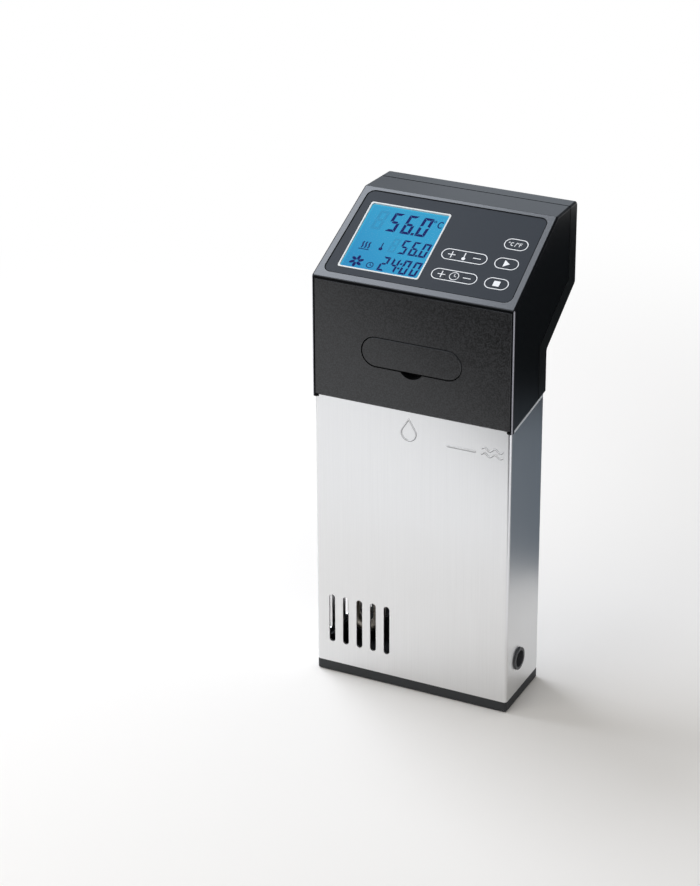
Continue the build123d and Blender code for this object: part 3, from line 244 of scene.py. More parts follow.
def painted_dark_edges(material, front, depth):
    """Takes the sheen off the rim that frames the front panel and off the rounded edges beside the deck, so
    that they read as black lines: painted shade for the gap's shadow and for dark reflections on the edges."""
    # As painted shade, an edge loses its sheen where it leans aside and faces up, both by more than these shares
    lean_range = {"From Min": 0.05, "From Max": 0.25, "To Min": 1.0, "To Max": 0.0}
    painted_shade_level, sheen_level = 0.04, 0.5
    tree = material.node_tree
    back = node(tree, "SeparateXYZ", {"Vector": node(tree, "TexCoord").outputs["Object"]}).outputs["Y"]
    rim = node(tree, "MapRange", {"Value": back, "From Min": front, "From Max": front + depth * MM})
    normal = face_normal(tree)
    lean = node(tree, "Math", {0: normal["X"]}, operation="ABSOLUTE").outputs["Value"]
    flat = node(tree, "MapRange", {"Value": lean, **lean_range}).outputs["Result"]
    upright = node(tree, "MapRange", {"Value": normal["Z"], **lean_range}).outputs["Result"]
    plain = node(tree, "Math", {0: flat, 1: upright}, operation="MAXIMUM").outputs["Value"]
    sheen = node(tree, "Math", {0: plain, 1: rim.outputs["Result"]}, operation="MINIMUM").outputs["Value"]
    level = node(tree, "MapRange", {"Value": sheen, "To Min": painted_shade_level, "To Max": sheen_level})
    tree.links.new(level.outputs["Result"], principled(material).inputs["Specular IOR Level"])


# The rear cover's satin is a shade greyer than the hood's: painted light for the brighter reflection on its flank
rear_satin_painted_light = grained(
    "ABS moulded satin rear painted lighter", (0.6, 0.6, 0.6), ("#181a1b", "#202223"), (0.26, 0.34), 0.002, IOR=1.53)
# Painted shade: both satins lose their sheen on the panel rim and on the deck's side edges
shaded_rim_depth = 0.3
for satin in (finishes["hood_plastic"], rear_satin_painted_light):
    painted_dark_edges(satin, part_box("main_housing")[0].y, shaded_rim_depth)


def paint_front_edge_highlight(material, shade):
    """Paints a pale line on the two upright front edges: a painted highlight for the light they catch."""
    # Aside times forwards is -0.5 on the middle of such an edge and nought on the flat faces
    highlight_start, highlight_full = -0.3, -0.46
    tree = material.node_tree
    normal = face_normal(tree)
    aside = node(tree, "Math", {0: normal["X"]}, operation="ABSOLUTE").outputs["Value"]
    corner = node(tree, "Math", {0: aside, 1: normal["Y"]}, operation="MULTIPLY").outputs["Value"]
    highlight_share = node(tree, "MapRange", {"Value": corner, "From Min": highlight_start, "From Max": highlight_full})
    base = principled(material).inputs["Base Color"]
    plain = base.links[0].from_socket
    colour = node(tree, "MixRGB", {"Fac": highlight_share.outputs["Result"], "Color1": plain, "Color2": linear(shade)})
    tree.links.new(colour.outputs["Color"], base)


# Painted highlight along the hood's upright front edges
paint_front_edge_highlight(finishes["hood_plastic"], "#a4a4ae")


def cad_points(name):
    """Mesh points of a CAD node at rest, in metres."""
    return [vertex.co for vertex in frame["nodes"][name].data.vertices]


def rest_corners(name, out, up):
    """Lowest and highest reach of a CAD node across, up and outwards, in metres."""
    points = cad_points(name)
    spans = []
    for axis in (up.cross(out), up, out):
        reach = [point.dot(axis) for point in points]
        spans.append((min(reach), max(reach)))
    return spans


# The control deck's own directions, from the way its keys travel
press = next(joint for joint in frame["joints"] if joint["name"] == "start_press")
deck_out = -Vector(press["axis"]).normalized()
deck_up = deck_out.cross(ACROSS)

(lcd_left, lcd_right), (lcd_low, lcd_high), _ = rest_corners("lcd_panel", deck_out, deck_up)
lcd_middle = ((lcd_left + lcd_right) / 2, (lcd_low + lcd_high) / 2)
lcd_half = (lcd_right - lcd_left) / 2


def lit_display(name, middle_colour, low_colour, edge_colour, edge_mm):
    """Backlit liquid crystal: even blue, deeper towards the lower left, with a cyan glow along its edges."""
    made, tree = empty_material(name)
    place = node(tree, "TexCoord").outputs["Object"]
    across = node(tree, "VectorMath", {0: place, 1: ACROSS}, operation="DOT_PRODUCT").outputs["Value"]
    along = node(tree, "VectorMath", {0: place, 1: deck_up}, operation="DOT_PRODUCT").outputs["Value"]
    offsets = []
    for coordinate, middle in ((across, lcd_middle[0]), (along, lcd_middle[1])):
        moved = node(tree, "Math", {0: coordinate, 1: middle}, operation="SUBTRACT")
        offsets.append(moved.outputs["Value"])
    far = [node(tree, "Math", {0: offset}, operation="ABSOLUTE").outputs["Value"] for offset in offsets]
    farthest = node(tree, "Math", {0: far[0], 1: far[1]}, operation="MAXIMUM").outputs["Value"]
    glow = node(tree, "MapRange", {
        "Value": farthest, "From Min": lcd_half - edge_mm * MM, "From Max": lcd_half,
    }, interpolation_type="SMOOTHSTEP")
    corner = node(tree, "Math", {0: offsets[0], 1: offsets[1]}, operation="ADD").outputs["Value"]
    shade = node(tree, "MapRange", {"Value": corner, "From Min": -2 * lcd_half, "From Max": 0.0})
    body = node(tree, "MixRGB", {
        "Fac": shade.outputs["Result"], "Color1": linear(low_colour), "Color2": linear(middle_colour)})
    lit = node(tree, "MixRGB", {
        "Fac": glow.outputs["Result"], "Color1": body.outputs["Color"], "Color2": linear(edge_colour)})
    shader = node(tree, "BsdfPrincipled", {
        "Base Color": linear("#05121c"),
        "Roughness": 0.5,
        "Specular IOR Level": 0.0,
        "Emission Color": lit.outputs["Color"],
        "Emission Strength": 1.0,
    })
    node(tree, "OutputMaterial", {"Surface": shader.outputs["BSDF"]})
    return made


finishes["display_blue"] = lit_display(
    "Liquid crystal backlit",
    middle_colour="#359fcd", low_colour="#2a8cc2", edge_colour="#3cb8de", edge_mm=1.5)

# Screen ink: bright white, slightly uneven where the mesh let it through
white_ink = grained("Screen ink white", (0.5, 0.5, 0.5), ("#dcdcdc", "#ededed"), (0.45, 0.6), 0.004, IOR=1.5)
# Switched crystal: the navy of a segment that holds the light back
segment_ink = grained(
    "Liquid crystal dark", (0.8, 0.8, 0.8), ("#0c1454", "#141f66"), (0.4, 0.5), 0.001,
    **{"Specular IOR Level": 0.0})
# Idle crystal: a shade deeper than the lit field
idle_ink = grained(
    "Liquid crystal idle", (0.8, 0.8, 0.8), ("#05121c", "#07161f"), (0.4, 0.5), 0.001,
    **{"Specular IOR Level": 0.0, "Emission Color": linear("#3492c0"), "Emission Strength": 1.0})

for row in frame["record"]["subparts"]:
    slots = frame["nodes"][row["node"]].data.materials
    slots.clear()
    slots.append(rear_satin_painted_light if row["node"] == "rear_cover" else finishes[row["material_slot"]])


# Flat and raised pieces

def face_axes(level_node, out, up, across_start, up_start):
    """Matrix of a flat face at a node's outermost level: millimetres across, up and outwards from a start."""
    level = rest_corners(level_node, out, up)[2][1]
    across = up.cross(out)
    axes = Matrix((across, up, out)).transposed().to_4x4()
    place = across * across_start + up * up_start + out * level
    return Matrix.Translation(place) @ axes @ Matrix.Scale(MM, 4)


def arc(x, y, radius, start, end, steps):
    """Points on a circle between two angles in degrees."""
    turns = [math.radians(start + (end - start) * i / steps) for i in range(steps + 1)]
    return [(x + radius * math.cos(turn), y + radius * math.sin(turn)) for turn in turns]


def circle(x, y, radius, count):
    """Closed path of this many points round a circle."""
    return arc(x, y, radius, 0, 360 - 360 / count, count - 1)


def oblong(x, y, width, height, steps=14):
    """Closed path round an oblong with round ends."""
    radius = height / 2
    reach = width / 2 - radius
    return arc(x + reach, y, radius, -90, 90, steps) + arc(x - reach, y, radius, 90, 270, steps)


def edge_normals(points, closed):
    """Mitred side direction at each point of a path, as long as an even width needs."""
    shortest_arm, mitre_limit = 1e-9, 0.4
    count = len(points)
    sides = []
    for i, (x, y) in enumerate(points):
        before = points[i - 1] if closed or i else points[0]
        after = points[(i + 1) % count] if closed or i < count - 1 else points[-1]
        arms = [Vector((x - before[0], y - before[1])), Vector((after[0] - x, after[1] - y))]
        arms = [arm.normalized() for arm in arms if arm.length > shortest_arm]
        along = sum(arms, Vector((0, 0))).normalized()
        side = Vector((-along.y, along.x))
        square = Vector((-arms[0].y, arms[0].x))
        sides.append(side / max(abs(side.dot(square)), mitre_limit))
    return sides


def ribbon(points, width, closed=False):
    """Four-cornered pieces of a line of even width through 2-D points."""
    sides = edge_normals(points, closed)
    left = [(x + s.x * width / 2, y + s.y * width / 2) for (x, y), s in zip(points, sides)]
    right = [(x - s.x * width / 2, y - s.y * width / 2) for (x, y), s in zip(points, sides)]
    last = len(points) if closed else len(points) - 1
    count = len(points)
    return [[left[i], right[i], right[(i + 1) % count], left[(i + 1) % count]] for i in range(last)]


def bead(points, width, height, closed=False, steps=8):
    """Faces of a domed rib along a path, with round ends, sunk a little into the sheet that carries it."""
    sunk = 0.05
    cap_turns = (30, 60, 90)
    sides = edge_normals(points, closed)
    rows = [((x, y), side, 1.0) for (x, y), side in zip(points, sides)]
    if not closed:
        for end, inward in ((0, 1), (-1, -2)):
            tip = Vector(points[end])
            along = (tip - Vector(points[inward])).normalized() * width / 2
            turns = [math.radians(turn) for turn in cap_turns]
            caps = [(tip + along * math.sin(turn), sides[end], math.cos(turn)) for turn in turns]
            rows = rows + caps if end else caps[::-1] + rows
    rings = []
    for (x, y), side, scale in rows:
        ring = []
        for k in range(steps + 1):
            turn = math.pi * k / steps
            reach = scale * math.cos(turn) * width / 2
            ring.append((x + side.x * reach, y + side.y * reach, scale * height * math.sin(turn) - sunk))
        rings.append(ring)
    count = len(rings)
    loops = [(rings[i], rings[(i + 1) % count]) for i in range(count if closed else count - 1)]
    size = steps + 1
    return [[a[k], a[(k + 1) % size], b[(k + 1) % size], b[k]] for a, b in loops for k in range(size)]


def show(name, shape, axes, material, body):
    """Turns a bmesh into a piece of the object that moves with a body."""
    bmesh.ops.recalc_face_normals(shape, faces=shape.faces)
    mesh = bpy.data.meshes.new(name)
    shape.to_mesh(mesh)
    shape.free()
    mesh.transform(axes)
    mesh.materials.append(material)
    piece = bpy.data.objects.new(name, mesh)
    bpy.context.scene.collection.objects.link(piece)
    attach(piece, body)
    return piece


def faces_of(polygons):
    """A bmesh of polygons in millimetres, flat or not, whose corners are joined where they meet."""
    weld, shortest_edge = 0.001, 0.0005
    shape = bmesh.new()
    for polygon in polygons:
        corners = [shape.verts.new((*point, 0)[:3]) for point in polygon]
        shape.faces.new(corners)
    bmesh.ops.remove_doubles(shape, verts=shape.verts, dist=weld)
    bmesh.ops.dissolve_degenerate(shape, edges=shape.edges, dist=shortest_edge)
    return shape


def layer(name, polygons, axes, thickness, material, body):
    """A thin flat layer, for print or for a painted shadow or highlight: flat polygons in millimetres, made solid
    outwards.
    """
    shape = faces_of(polygons)
    grown = bmesh.ops.extrude_face_region(shape, geom=shape.faces[:], use_keep_orig=True)
    moved = [element for element in grown["geom"] if isinstance(element, bmesh.types.BMVert)]
    bmesh.ops.translate(shape, vec=(0, 0, thickness), verts=moved)
    show(name, shape, axes, material, body)


def raised(name, polygons, axes, material, body):
    """An embossed form with smooth shading."""
    piece = show(name, faces_of(polygons), axes, material, body)
    piece.data.shade_smooth()


# Prints on the control deck

# All in millimetres
print_thickness = 0.03
shadow_line_width = 0.5
ring_width = 0.46
key_edge = 0.85
sign_offset = 6.9
sign_half = 2.1
sign_stroke = 0.48
key_thermometer = 5.0
key_clock, key_clock_stroke = 2.4, 0.36
arrow_left, arrow_right, arrow_half = 1.4, 1.7, 2.2
square_half = 1.7
letter_height, letter_stroke = 2.4, 0.36
# The unit sign from left to right, from the middle of its key: C, a leaning stroke, F
celsius_start, slash_foot, slash_top, fahrenheit_start = -3.9, -0.55, 0.25, 0.85
slash_half, slash_stroke = 1.35, 0.288

deck_print = face_axes("control_overlay", deck_out, deck_up, 0.0, 0.0)


def deck_box(name):
    """Left, right, low and high edges of a deck piece in millimetres."""
    (left, right), (low, high), _ = rest_corners(name, deck_out, deck_up)
    return left / MM, right / MM, low / MM, high / MM


def key_outline(first, last):
    """Middle and size of the oblong round one key, or round a pair."""
    left, _, low, high = deck_box(first)
    _, right, _, _ = deck_box(last)
    width, height = right - left + 2 * key_edge, high - low + 2 * key_edge
    return (left + right) / 2, (low + high) / 2, width, height


def key_ring(x, y, width, height):
    """White line just inside an oblong of this size."""
    return ribbon(oblong(x, y, width - ring_width, height - ring_width), ring_width, closed=True)


def foil_outline():
    """Points round the control foil's edge, in millimetres across and up the deck."""
    points = cad_points("control_overlay")
    flat = [Vector((point.dot(ACROSS), point.dot(deck_up))) / MM for point in points]
    return [flat[i] for i in convex_hull_2d(flat)]


# Painted shadow of the foil's recess: a black, dull line round the foil's edge
painted_recess_shadow = grained(
    "Polyester foil painted recess shadow", (0.5, 0.5, 0.5), ("#030304", "#08090a"), (0.7, 0.85), 0.004,
    **{"Specular IOR Level": 0.1})
foil_shadow_line = ribbon(foil_outline(), shadow_line_width, closed=True)
layer("foil_recess_shadow", foil_shadow_line, deck_print, print_thickness, painted_recess_shadow, "housing")


def print_on_deck(name, polygons, body="housing"):
    """White print on the foil, which moves with a key or stays with the housing."""
    layer(name, polygons, deck_print, print_thickness, white_ink, body)


def cross_sign(x, y, upright):
    """A plus sign, or a minus sign."""
    arms = ribbon([(x - sign_half, y), (x + sign_half, y)], sign_stroke)
    if upright:
        half = sign_stroke / 2
        arms += ribbon([(x, y + half), (x, y + sign_half)], sign_stroke)
        arms += ribbon([(x, y - sign_half), (x, y - half)], sign_stroke)
    return arms


def thermometer(x, y, size):
    """Bulb with a tube above it, drawn this many millimetres high; bulb and tube are shares of that."""
    bulb = 0.2 * size
    tube = 0.11 * size
    base = y - size / 2 + bulb
    lean = math.degrees(math.asin(tube / 2 / bulb))
    outline = arc(x, base, bulb, 90 + lean, 450 - lean, 20)
    top = arc(x, y + size / 2 - tube / 2, tube / 2, 0, 180, 8)
    return [outline + top]


def clock(x, y, radius, stroke):
    """Clock face with two hands, which are shares of its radius long."""
    hands = [(x, y + 0.62 * radius), (x, y), (x + 0.5 * radius, y - 0.12 * radius)]
    return ribbon(circle(x, y, radius, 48), stroke, closed=True) + ribbon(hands, stroke * 0.85)


def degree_letter(letter, x, y, height, stroke):
    """A degree ring and the letter C or F in shares of their height; the lower left corner is at x, y."""
    ring = 0.14 * height
    shapes = ribbon(circle(x, y + height - ring, ring, 12), stroke * 0.55, closed=True)
    left = x + 2.6 * ring + stroke / 2
    if letter == "C":
        middle = y + height / 2
        bend = [(px * 0.72, py) for px, py in arc(0, 0, height / 2 - stroke / 2, 48, 312, 22)]
        return shapes + ribbon([(left + 0.34 * height + px, middle + py) for px, py in bend], stroke)
    top, bar = y + height - stroke / 2, y + 0.52 * height
    shapes += ribbon([(left, y), (left, top), (left + 0.5 * height, top)], stroke)
    return shapes + ribbon([(left + stroke / 2, bar), (left + 0.42 * height, bar)], stroke)


def arrow_sign(x, y):
    """Arrow head that points to the right."""
    return [[(x - arrow_left, y - arrow_half), (x + arrow_right, y), (x - arrow_left, y + arrow_half)]]


def square_sign(x, y):
    """Filled square."""
    low, high = -square_half, square_half
    return [[(x + across, y + up) for across, up in ((low, low), (high, low), (high, high), (low, high))]]


def unit_sign(x, y):
    """Degrees Celsius and degrees Fahrenheit with a leaning stroke between them."""
    foot = y - letter_height / 2
    slash = [(x + slash_foot, y - slash_half), (x + slash_top, y + slash_half)]
    shapes = degree_letter("C", x + celsius_start, foot, letter_height, letter_stroke)
    shapes += ribbon(slash, slash_stroke)
    return shapes + degree_letter("F", x + fahrenheit_start, foot, letter_height, letter_stroke)


wide_keys = {"temp": ("key_temp_up", "key_temp_down"), "time": ("key_time_up", "key_time_down")}
for label, pair in wide_keys.items():
    x, y, width, height = key_outline(*pair)
    print_on_deck(f"ring_{label}", key_ring(x, y, width, height))
    for name, side in zip(pair, (-1, 1)):
        print_on_deck(f"sign_{name}", cross_sign(x + side * sign_offset, y, side < 0), name)
    icon = thermometer(x, y, key_thermometer) if label == "temp" else clock(x, y, key_clock, key_clock_stroke)
    print_on_deck(f"icon_{label}", icon)

small_keys = {"key_unit": unit_sign, "key_start": arrow_sign, "key_stop": square_sign}
for name, sign in small_keys.items():
    x, y, width, height = key_outline(name, name)
    print_on_deck(f"ring_{name}", key_ring(x, y, width, height))
    print_on_deck(f"sign_{name}", sign(x, y), name)


# Display contents

segment_thickness = 0.02
digit_slant = math.tan(math.radians(4.5))
SEGMENTS = {
    "0": "abcdef", "2": "abged", "4": "fgbc", "5": "afgcd", "6": "afgedc", "8": "abcdefg",
}

# The figures fill the window as seen from in front, so they sit a little up and left on the sunk panel
figure_scale = 0.965
figure_shift = (-0.6 * MM, 0.8 * MM)
figure_place = [middle + shift for middle, shift in zip(lcd_middle, figure_shift)]
lcd_print = face_axes("lcd_panel", deck_out, deck_up, *figure_place) @ Matrix.Scale(figure_scale, 4)


def segment_digit(character, x, y, width, height, stroke):
    """Seven-segment figure with mitred bars, leaning to the right."""
    half, gap, middle = stroke / 2, stroke * 0.07, height / 2
    left, right, low, high = half, width - half, half, height - half
    # Ends of each bar's middle line, and the side that is the figure's outside
    bars = {
        "a": ((left, high), (right, high), (0, 1)),
        "b": ((right, middle), (right, high), (1, 0)),
        "c": ((right, low), (right, middle), (1, 0)),
        "d": ((left, low), (right, low), (0, -1)),
        "e": ((left, low), (left, middle), (-1, 0)),
        "f": ((left, middle), (left, high), (-1, 0)),
        "g": ((left, middle), (right, middle), (0, 1)),
    }
    shapes = []
    for bar in SEGMENTS[character]:
        start, end, out = (Vector(point) for point in bars[bar])
        along, side = (end - start).normalized(), out * half
        start, end = start + along * gap, end - along * gap
        # A bar's outside runs on to the figure's corners, and stops level where it meets the middle
        first, last = (0 if abs(point.y - middle) < stroke else -half for point in (start, end))
        if bar == "g":
            first = last = half
        inside = [start + along * half - side, end - along * half - side]
        outside = [end - along * last + side, start + along * first + side]
        points = [start, *inside, end, *outside] if bar == "g" else inside + outside
        shapes.append([(x + point.x + digit_slant * point.y, y + point.y) for point in points])
    return shapes


def leaning_square(x, y, foot, size):
    """A point of a figure whose foot is at y = foot."""
    corners = [(0, 0), (size, 0), (size, size), (0, size)]
    return [[(x + cx + digit_slant * (y - foot + cy), y + cy) for cx, cy in corners]]


def number(text, x, y, width, height, pitch, stroke):
    """Figures, points and colons in one row; a point takes no room, and a colon half a stroke."""
    colon_heights = (0.3, 0.62)
    shapes = []
    for character in text:
        gap_middle = x - (pitch - width) / 2
        if character == ".":
            shapes += leaning_square(gap_middle - stroke / 2, y, y, stroke)
        elif character == ":":
            x += stroke / 2
            for share in colon_heights:
                shapes += leaning_square(gap_middle - stroke / 4, y + share * height, y, stroke)
        else:
            shapes += segment_digit(character, x, y, width, height, stroke)
            x += pitch
    return shapes


def heat_waves(x, y, size):
    """Three rising waves over a line, in shares of their size."""
    steps = 12
    shapes = ribbon([(x - 0.55 * size, y - 0.48 * size), (x + 0.55 * size, y - 0.48 * size)], 0.1 * size)
    for offset in (-0.34, 0.0, 0.34):
        wave = []
        for i in range(steps + 1):
            rise = i / steps
            sway = 0.07 * math.sin(2 * math.pi * rise) + 0.1 * rise
            wave.append((x + (offset + sway) * size, y + (rise * 0.8 - 0.32) * size))
        shapes += ribbon(wave, 0.15 * size)
    return shapes


def fan(x, y, radius):
    """Slender blades round a small free middle, in shares of their radius."""
    blades, first_turn = 6, 12
    shapes = []
    for i in range(blades):
        blade = arc(0.6 * radius, 0, 0.4 * radius, -180, 180, 16)[:-1]
        turn = Matrix.Rotation(math.radians(first_turn + 360 * i / blades), 2)
        twisted = [turn @ Vector((px, py * 0.58 + 0.2 * (px - 0.2 * radius))) for px, py in blade]
        shapes.append([(x + point.x, y + point.y) for point in twisted])
    return shapes


def on_display(name, polygons, material=segment_ink):
    """Crystal segments on the display."""
    layer(name, polygons, lcd_print, segment_thickness, material, "housing")


large_figure = {"width": 5.7, "height": 13.3, "pitch": 8.6, "stroke": 1.65}
small_figure = {"width": 4.1, "height": 9.8, "pitch": 5.9, "stroke": 1.2}
# Places and sizes are in millimetres from the middle of the display
water_start, set_start, time_start = -8.2, 4.9, -1.4
water_row, set_row, time_row = 5.0, -8.6, -21.7
on_display("figures_water", number("56.0", water_start, water_row, **large_figure))
on_display("figures_set", number("56.0", set_start, set_row, **small_figure))
on_display("figures_time", number("24:00", time_start, time_row, **small_figure))
on_display("unit_water", degree_letter("C", x=16.8, y=12.6, height=4.7, stroke=0.7))
on_display("icon_heat", heat_waves(x=-14.1, y=-6.8, size=5.4))
on_display("icon_fan", fan(x=-14.3, y=-18.0, radius=4.0))
on_display("icon_set", thermometer(x=-5.0, y=-5.8, size=5.4))
on_display("icon_timer", clock(x=-6.0, y=-19.2, radius=1.8, stroke=0.5))
idle_figures = number("8", water_start - large_figure["pitch"], water_row, **large_figure)
idle_figures += number("8", set_start - small_figure["pitch"], set_row, **small_figure)
on_display("figures_idle", idle_figures, idle_ink)


# Marks pressed out of the sleeve

emboss_height = 0.45
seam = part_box("front_panel")[0].z
sleeve_face = face_axes("sleeve", FRONT, UP, 0.0, seam)


def lit_and_shaded_steel(name, painted_shadow, painted_highlight, cell):
    """Matt steel of the pressed marks, lighter on the upper flank and darker under the lower one: a painted
    highlight and painted shade, set by the way each flank faces."""
    shading_slope = 0.45
    made, tree = empty_material(name)
    place = node(tree, "TexCoord").outputs["Object"]
    noise = node(tree, "TexNoise", {"Vector": place, "Scale": 1 / (cell * MM)})
    rough = node(tree, "MapRange", {"Value": noise.outputs["Fac"], "To Min": 0.4, "To Max": 0.55})
    slope = face_normal(tree)["Z"]
    share = node(tree, "MapRange", {"Value": slope, "From Min": -shading_slope, "From Max": shading_slope})
    colour = node(tree, "MixRGB", {
        "Fac": share.outputs["Result"], "Color1": linear(painted_shadow), "Color2": linear(painted_highlight)})
    shader = node(tree, "BsdfPrincipled", {
        "Base Color": colour.outputs["Color"],
        "Roughness": rough.outputs["Result"],
        "Metallic": 0.2,
    })
    node(tree, "OutputMaterial", {"Surface": shader.outputs["BSDF"]})
    return made


# Pressed marks: painted highlight on the upper flanks and painted shade under the lower ones
painted_mark_steel = lit_and_shaded_steel("Stainless steel pressed with painted light and shade", "#77797c", "#f6f6f6", 0.4)


def press_mark(name, path, width, closed=False):
    """Rib along a path on the sleeve's front, in millimetres across and up from the seam."""
    faces = bead(path, width, emboss_height, closed)
    raised(name, faces, sleeve_face, painted_mark_steel, "housing")


level_width, sign_width = 1.3, 0.9
level_start, level_end, level_height = 20.2, 35.3, -14.8
press_mark("level_line", [(level_start, level_height), (level_end, level_height)], level_width)

wave_start, wave_length, wave_swing, wave_steps = 39.2, 5.8, 0.9, 16
wave_heights = (-12.4, -15.4)
for i, height in enumerate(wave_heights):
    wave = []
    for k in range(2 * wave_steps + 1):
        share = k / wave_steps
        wave.append((wave_start + wave_length * share, height + wave_swing * math.sin(2 * math.pi * share)))
    press_mark(f"level_wave_{i + 1}", wave, sign_width)

drop_x, drop_y, drop_radius, drop_tip = -1.6, -12.2, 4.1, 7.6
drop_angle = math.degrees(math.acos(drop_radius / drop_tip))
drop = arc(drop_x, drop_y, drop_radius, 90 + drop_angle, 450 - drop_angle, 28)
drop.append((drop_x, drop_y + drop_tip))
press_mark("drop_mark", drop, sign_width, closed=True)


# Painted highlights along the top edges of the sleeve's sides

highlight_width = 1.4
# The hood stands out over the sleeve and hides this much of its sides from the photograph's view
highlight_drop = 0.8
highlight_thickness = 0.02
# Painted highlight: a pale, matt line for the light caught by the sheet's top edge
painted_highlight_steel = grained(
    "Stainless steel painted edge highlight", (0.3, 0.3, 0.3), ("#cfd4d8", "#dfe3e7"), (0.5, 0.65), 0.002,
    Metallic=0.2)


def paint_sleeve_edge_highlight(name, side):
    """Painted highlight: a pale line below the sloping top edge of the sleeve's left or right side."""
    lowest = seam - highlight_drop * MM
    top = [point for point in cad_points("sleeve") if point.z > lowest and point.x * side > 0]
    ends = []
    for half in (-1, 1):
        row = [point for point in top if point.y * half > 0]
        ends.append(max(row, key=lambda point: point.x * side))
    front, back = ends
    out = (back - front).cross(UP).normalized() * side
    across = UP.cross(out)
    axes = face_axes("sleeve", out, UP, 0.0, 0.0)
    below = highlight_drop + highlight_width / 2
    line = ribbon([(end.dot(across) / MM, end.z / MM - below) for end in ends], highlight_width)
    layer(name, line, axes, highlight_thickness, painted_highlight_steel, "housing")


paint_sleeve_edge_highlight("sleeve_highlight_left", -1)
paint_sleeve_edge_highlight("sleeve_highlight_right", 1)


# Clamp spindle with its thread

thread_pitch = 3.0
thread_depth = 0.7
thread_steps = 40
thread_rise = 0.15
# Shares of the way from the middle of the crest to the middle of the groove
crest_share, flank_share = 0.35, 0.3
tip_step, tip_chamfer, tip_gap = 1.0, 0.4, 0.2
sharp_angle = math.radians(35)


def clamp_spindle():
    """Spindle with a right-hand thread; the tip is plain and turns in the pad."""
    low, high = (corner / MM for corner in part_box("clamp_screw"))
    outer = (high.x - low.x) / 2
    middle = (low + high) / 2
    _, pad_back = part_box("clamp_pad")
    tip_radius, tip_end = outer - tip_step, pad_back.y / MM + tip_gap
    # Each ring is a place along the spindle, a radius and 1 where it is threaded
    rings = [(low.y, tip_radius - tip_chamfer, 0), (low.y + tip_chamfer, tip_radius, 0)]
    rings.append((tip_end, tip_radius, 0))
    count = int((high.y - tip_end) / thread_rise)
    rings += [(tip_end + (high.y - tip_end) * i / count, outer, 1) for i in range(count + 1)]
    shape = bmesh.new()
    loops = []
    for y, radius, threaded in rings:
        loop = []
        for k in range(thread_steps):
            turn = 2 * math.pi * k / thread_steps
            phase = abs(((y / thread_pitch - k / thread_steps) % 1) - 0.5) * 2
            cut = min(max((phase - crest_share) / flank_share, 0), 1)
            reach = radius - threaded * thread_depth * cut
            point = (middle.x + reach * math.sin(turn), y, middle.z + reach * math.cos(turn))
            loop.append(shape.verts.new(point))
        loops.append(loop)
    for a, b in zip(loops, loops[1:]):
        for k in range(thread_steps):
            after = (k + 1) % thread_steps
            shape.faces.new((a[k], a[after], b[after], b[k]))
    shape.faces.new(loops[0])
    shape.faces.new(loops[-1])
    steel = finishes["shaft_steel"]
    piece = show("clamp_spindle", shape, Matrix.Scale(MM, 4), steel, "spindle")
    piece.data.shade_smooth()
    piece.data.set_sharp_from_angle(angle=sharp_angle)
    return piece


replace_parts(clamp_spindle(), "clamp_screw")


# Floor, light and camera

def backdrop_rays(tree):
    """Light path sockets, and the share of rays that the plain white room shows to: seen, mirrored or
    through glass."""
    path = node(tree, "LightPath").outputs
    seen = node(tree, "Math", {0: path["Is Camera Ray"], 1: path["Is Glossy Ray"]}, operation="MAXIMUM")
    shown = node(tree, "Math", {
        0: seen.outputs["Value"], 1: path["Is Transmission Ray"]}, operation="MAXIMUM")
    return path, shown.outputs["Value"]


def studio_white(name, near, far):
    """White floor that takes the object's shadow near its middle and is plain white further out."""
    made, tree = empty_material(name)
    place = node(tree, "TexCoord").outputs["Object"]
    away = node(tree, "VectorMath", {0: place}, operation="LENGTH").outputs["Value"]
    fade = node(tree, "MapRange", {"Value": away, "From Min": near, "From Max": far},
                interpolation_type="SMOOTHSTEP").outputs["Result"]
    _, shown = backdrop_rays(tree)
    share = node(tree, "Math", {0: fade, 1: shown}, operation="MULTIPLY").outputs["Value"]
    paint = node(tree, "BsdfDiffuse", {"Color": linear("#f6f2ec")})
    white = node(tree, "Emission", {"Color": linear("#ffffff"), "Strength": 1.0})
    mixed = node(tree, "MixShader", {0: share, 1: paint.outputs["BSDF"], 2: white.outputs["Emission"]})
    node(tree, "OutputMaterial", {"Surface": mixed.outputs["Shader"]})
    return made


def stage_sheet(name, size, matrix, material):
    """A flat rectangle of the studio, in metres."""
    shape = bmesh.new()
    right, high = size[0] / 2, size[1] / 2
    corners = [(-right, -high), (right, -high), (right, high), (-right, high)]
    shape.faces.new([shape.verts.new((x, y, 0)) for x, y in corners])
    mesh = bpy.data.meshes.new(name)
    shape.to_mesh(mesh)
    shape.free()
    mesh.materials.append(material)
    sheet = bpy.data.objects.new(name, mesh)
    sheet.matrix_world = matrix
    bpy.context.scene.collection.objects.link(sheet)
    return sheet


floor_size = (12.0, 12.0)
floor_white = studio_white("Studio floor white", near=0.3, far=0.7)
stage_sheet("floor", floor_size, Matrix.Identity(4), floor_white)


def graded_card(name, colour, axis, start, end, start_level, end_level):
    """Studio card whose glow changes between two distances along an axis, in metres."""
    made, tree = empty_material(name)
    place = node(tree, "NewGeometry").outputs["Position"]
    along = node(tree, "VectorMath", {0: place, 1: axis}, operation="DOT_PRODUCT").outputs["Value"]
    level = node(tree, "MapRange", {
        "Value": along, "From Min": start, "From Max": end, "To Min": start_level, "To Max": end_level,
    }, interpolation_type="SMOOTHSTEP").outputs["Result"]
    glow = node(tree, "Emission", {"Color": linear(colour), "Strength": level})
    node(tree, "OutputMaterial", {"Surface": glow.outputs["Emission"]})
    return made


def facing(place, aim):
    """Matrix at a place whose -Z axis looks at another place."""
    turn = (Vector(aim) - Vector(place)).to_track_quat("-Z", "Y")
    return Matrix.Translation(place) @ turn.to_matrix().to_4x4()


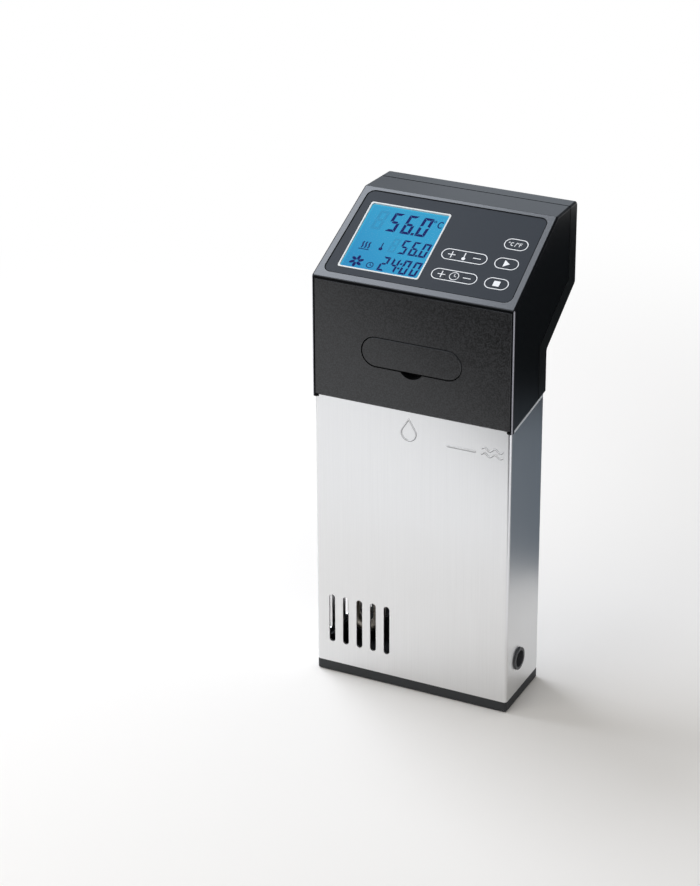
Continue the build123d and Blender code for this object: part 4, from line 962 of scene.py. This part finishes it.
def flag(name, material, size, place, aim):
    """A studio card that only reflections see."""
    card = stage_sheet(name, size, facing(place, aim), material)
    card.visible_camera = False
    card.visible_diffuse = False
    card.visible_shadow = False
    card.visible_transmission = False


# The right card keeps the flank dark and the steel below it grey; the left one draws the dark left outline
side_shade = graded_card(
    "Studio card side", "#daecff", axis=UP, start=0.093, end=0.12, start_level=0.19, end_level=0.015)
flag("flag_right", side_shade, size=(0.3, 0.225), place=(0.11, 0.125, 0.1125), aim=(0.05, 0.01, 0.1125))
flag("flag_left", side_shade, size=(0.36, 0.26), place=(-0.24, 0.15, 0.18), aim=(0.0, 0.0, 0.18))

# The front card lets the front panel fade from its lower left corner to its upper right one
front_shade = graded_card(
    "Studio card front", "#f2f3f5",
    axis=(1.0, 0.0, 1.5), start=0.15, end=0.195, start_level=1.2, end_level=0.02)
flag("flag_front", front_shade, size=(0.4, 0.27), place=(-0.03, -0.135, 0.165), aim=(-0.03, 0.0, 0.165))

# The edge card lights the bend at the front right of the steel
edge_shade = graded_card(
    "Studio card edge", "#f4f5fa", axis=UP, start=0.1, end=0.16, start_level=1.15, end_level=1.7)
flag("flag_edge", edge_shade, size=(0.05, 0.19), place=(0.109, -0.051, 0.105), aim=(0.056, -0.0226, 0.105))

object_middle = (cad_box[0] + cad_box[1]) / 2


def softbox(name, direction, distance, size, watts, colour="#ffffff"):
    """A rectangular lamp that looks at the middle of the object."""
    lamp = bpy.data.lights.new(name, "AREA")
    lamp.shape = "RECTANGLE"
    lamp.size, lamp.size_y = size
    lamp.energy = watts
    lamp.color = linear(colour)[:3]
    made = bpy.data.objects.new(name, lamp)
    made.matrix_world = facing(object_middle + Vector(direction).normalized() * distance, object_middle)
    made.visible_camera = False
    bpy.context.scene.collection.objects.link(made)


softbox("key_softbox", (-0.62, 0.15, 0.85), distance=1.1, size=(0.7, 0.7), watts=10.8, colour="#ecf3ff")
softbox("front_softbox", (-0.55, -0.9, 0.45), distance=1.5, size=(1.2, 1.0), watts=6.0)


def white_room(name, light, reflection):
    """World that is white where it is seen, gives less light than that, and tints what mirrors it."""
    room = bpy.data.worlds.new(name)
    room.use_nodes = True
    tree = room.node_tree
    tree.nodes.clear()
    path, shown = backdrop_rays(tree)
    level = node(tree, "MapRange", {"Value": shown, "To Min": light, "To Max": 1.0})
    tint = node(tree, "MixRGB", {
        "Fac": path["Is Glossy Ray"], "Color1": linear("#ffffff"), "Color2": linear(reflection)})
    sky = node(tree, "Background", {"Color": tint.outputs["Color"], "Strength": level.outputs["Result"]})
    node(tree, "OutputWorld", {"Surface": sky.outputs["Background"]})
    return room


# Reflections of the room are slightly blue
bpy.context.scene.world = white_room("studio", light=0.45, reflection="#e3ecf7")

# The photograph's viewpoint, found from the object's straight edges
camera_place = (0.57751, -1.21065, 0.74499)
camera_azimuth = math.radians(27.257)
camera_elevation = math.radians(24.488)
camera_roll = math.radians(-0.3)
camera_data = bpy.data.cameras.new("camera")
camera_data.lens = 116.51
camera_data.sensor_width = 36.0
camera_data.clip_end = 50.0
camera = bpy.data.objects.new("camera", camera_data)
camera.matrix_world = (
    Matrix.Translation(camera_place)
    @ Matrix.Rotation(camera_azimuth, 4, "Z")
    @ Matrix.Rotation(math.pi / 2 - camera_elevation, 4, "X")
    @ Matrix.Rotation(camera_roll, 4, "Z")
)
bpy.context.scene.collection.objects.link(camera)
bpy.context.scene.camera = camera
bpy.context.scene.view_settings.view_transform = "Standard"
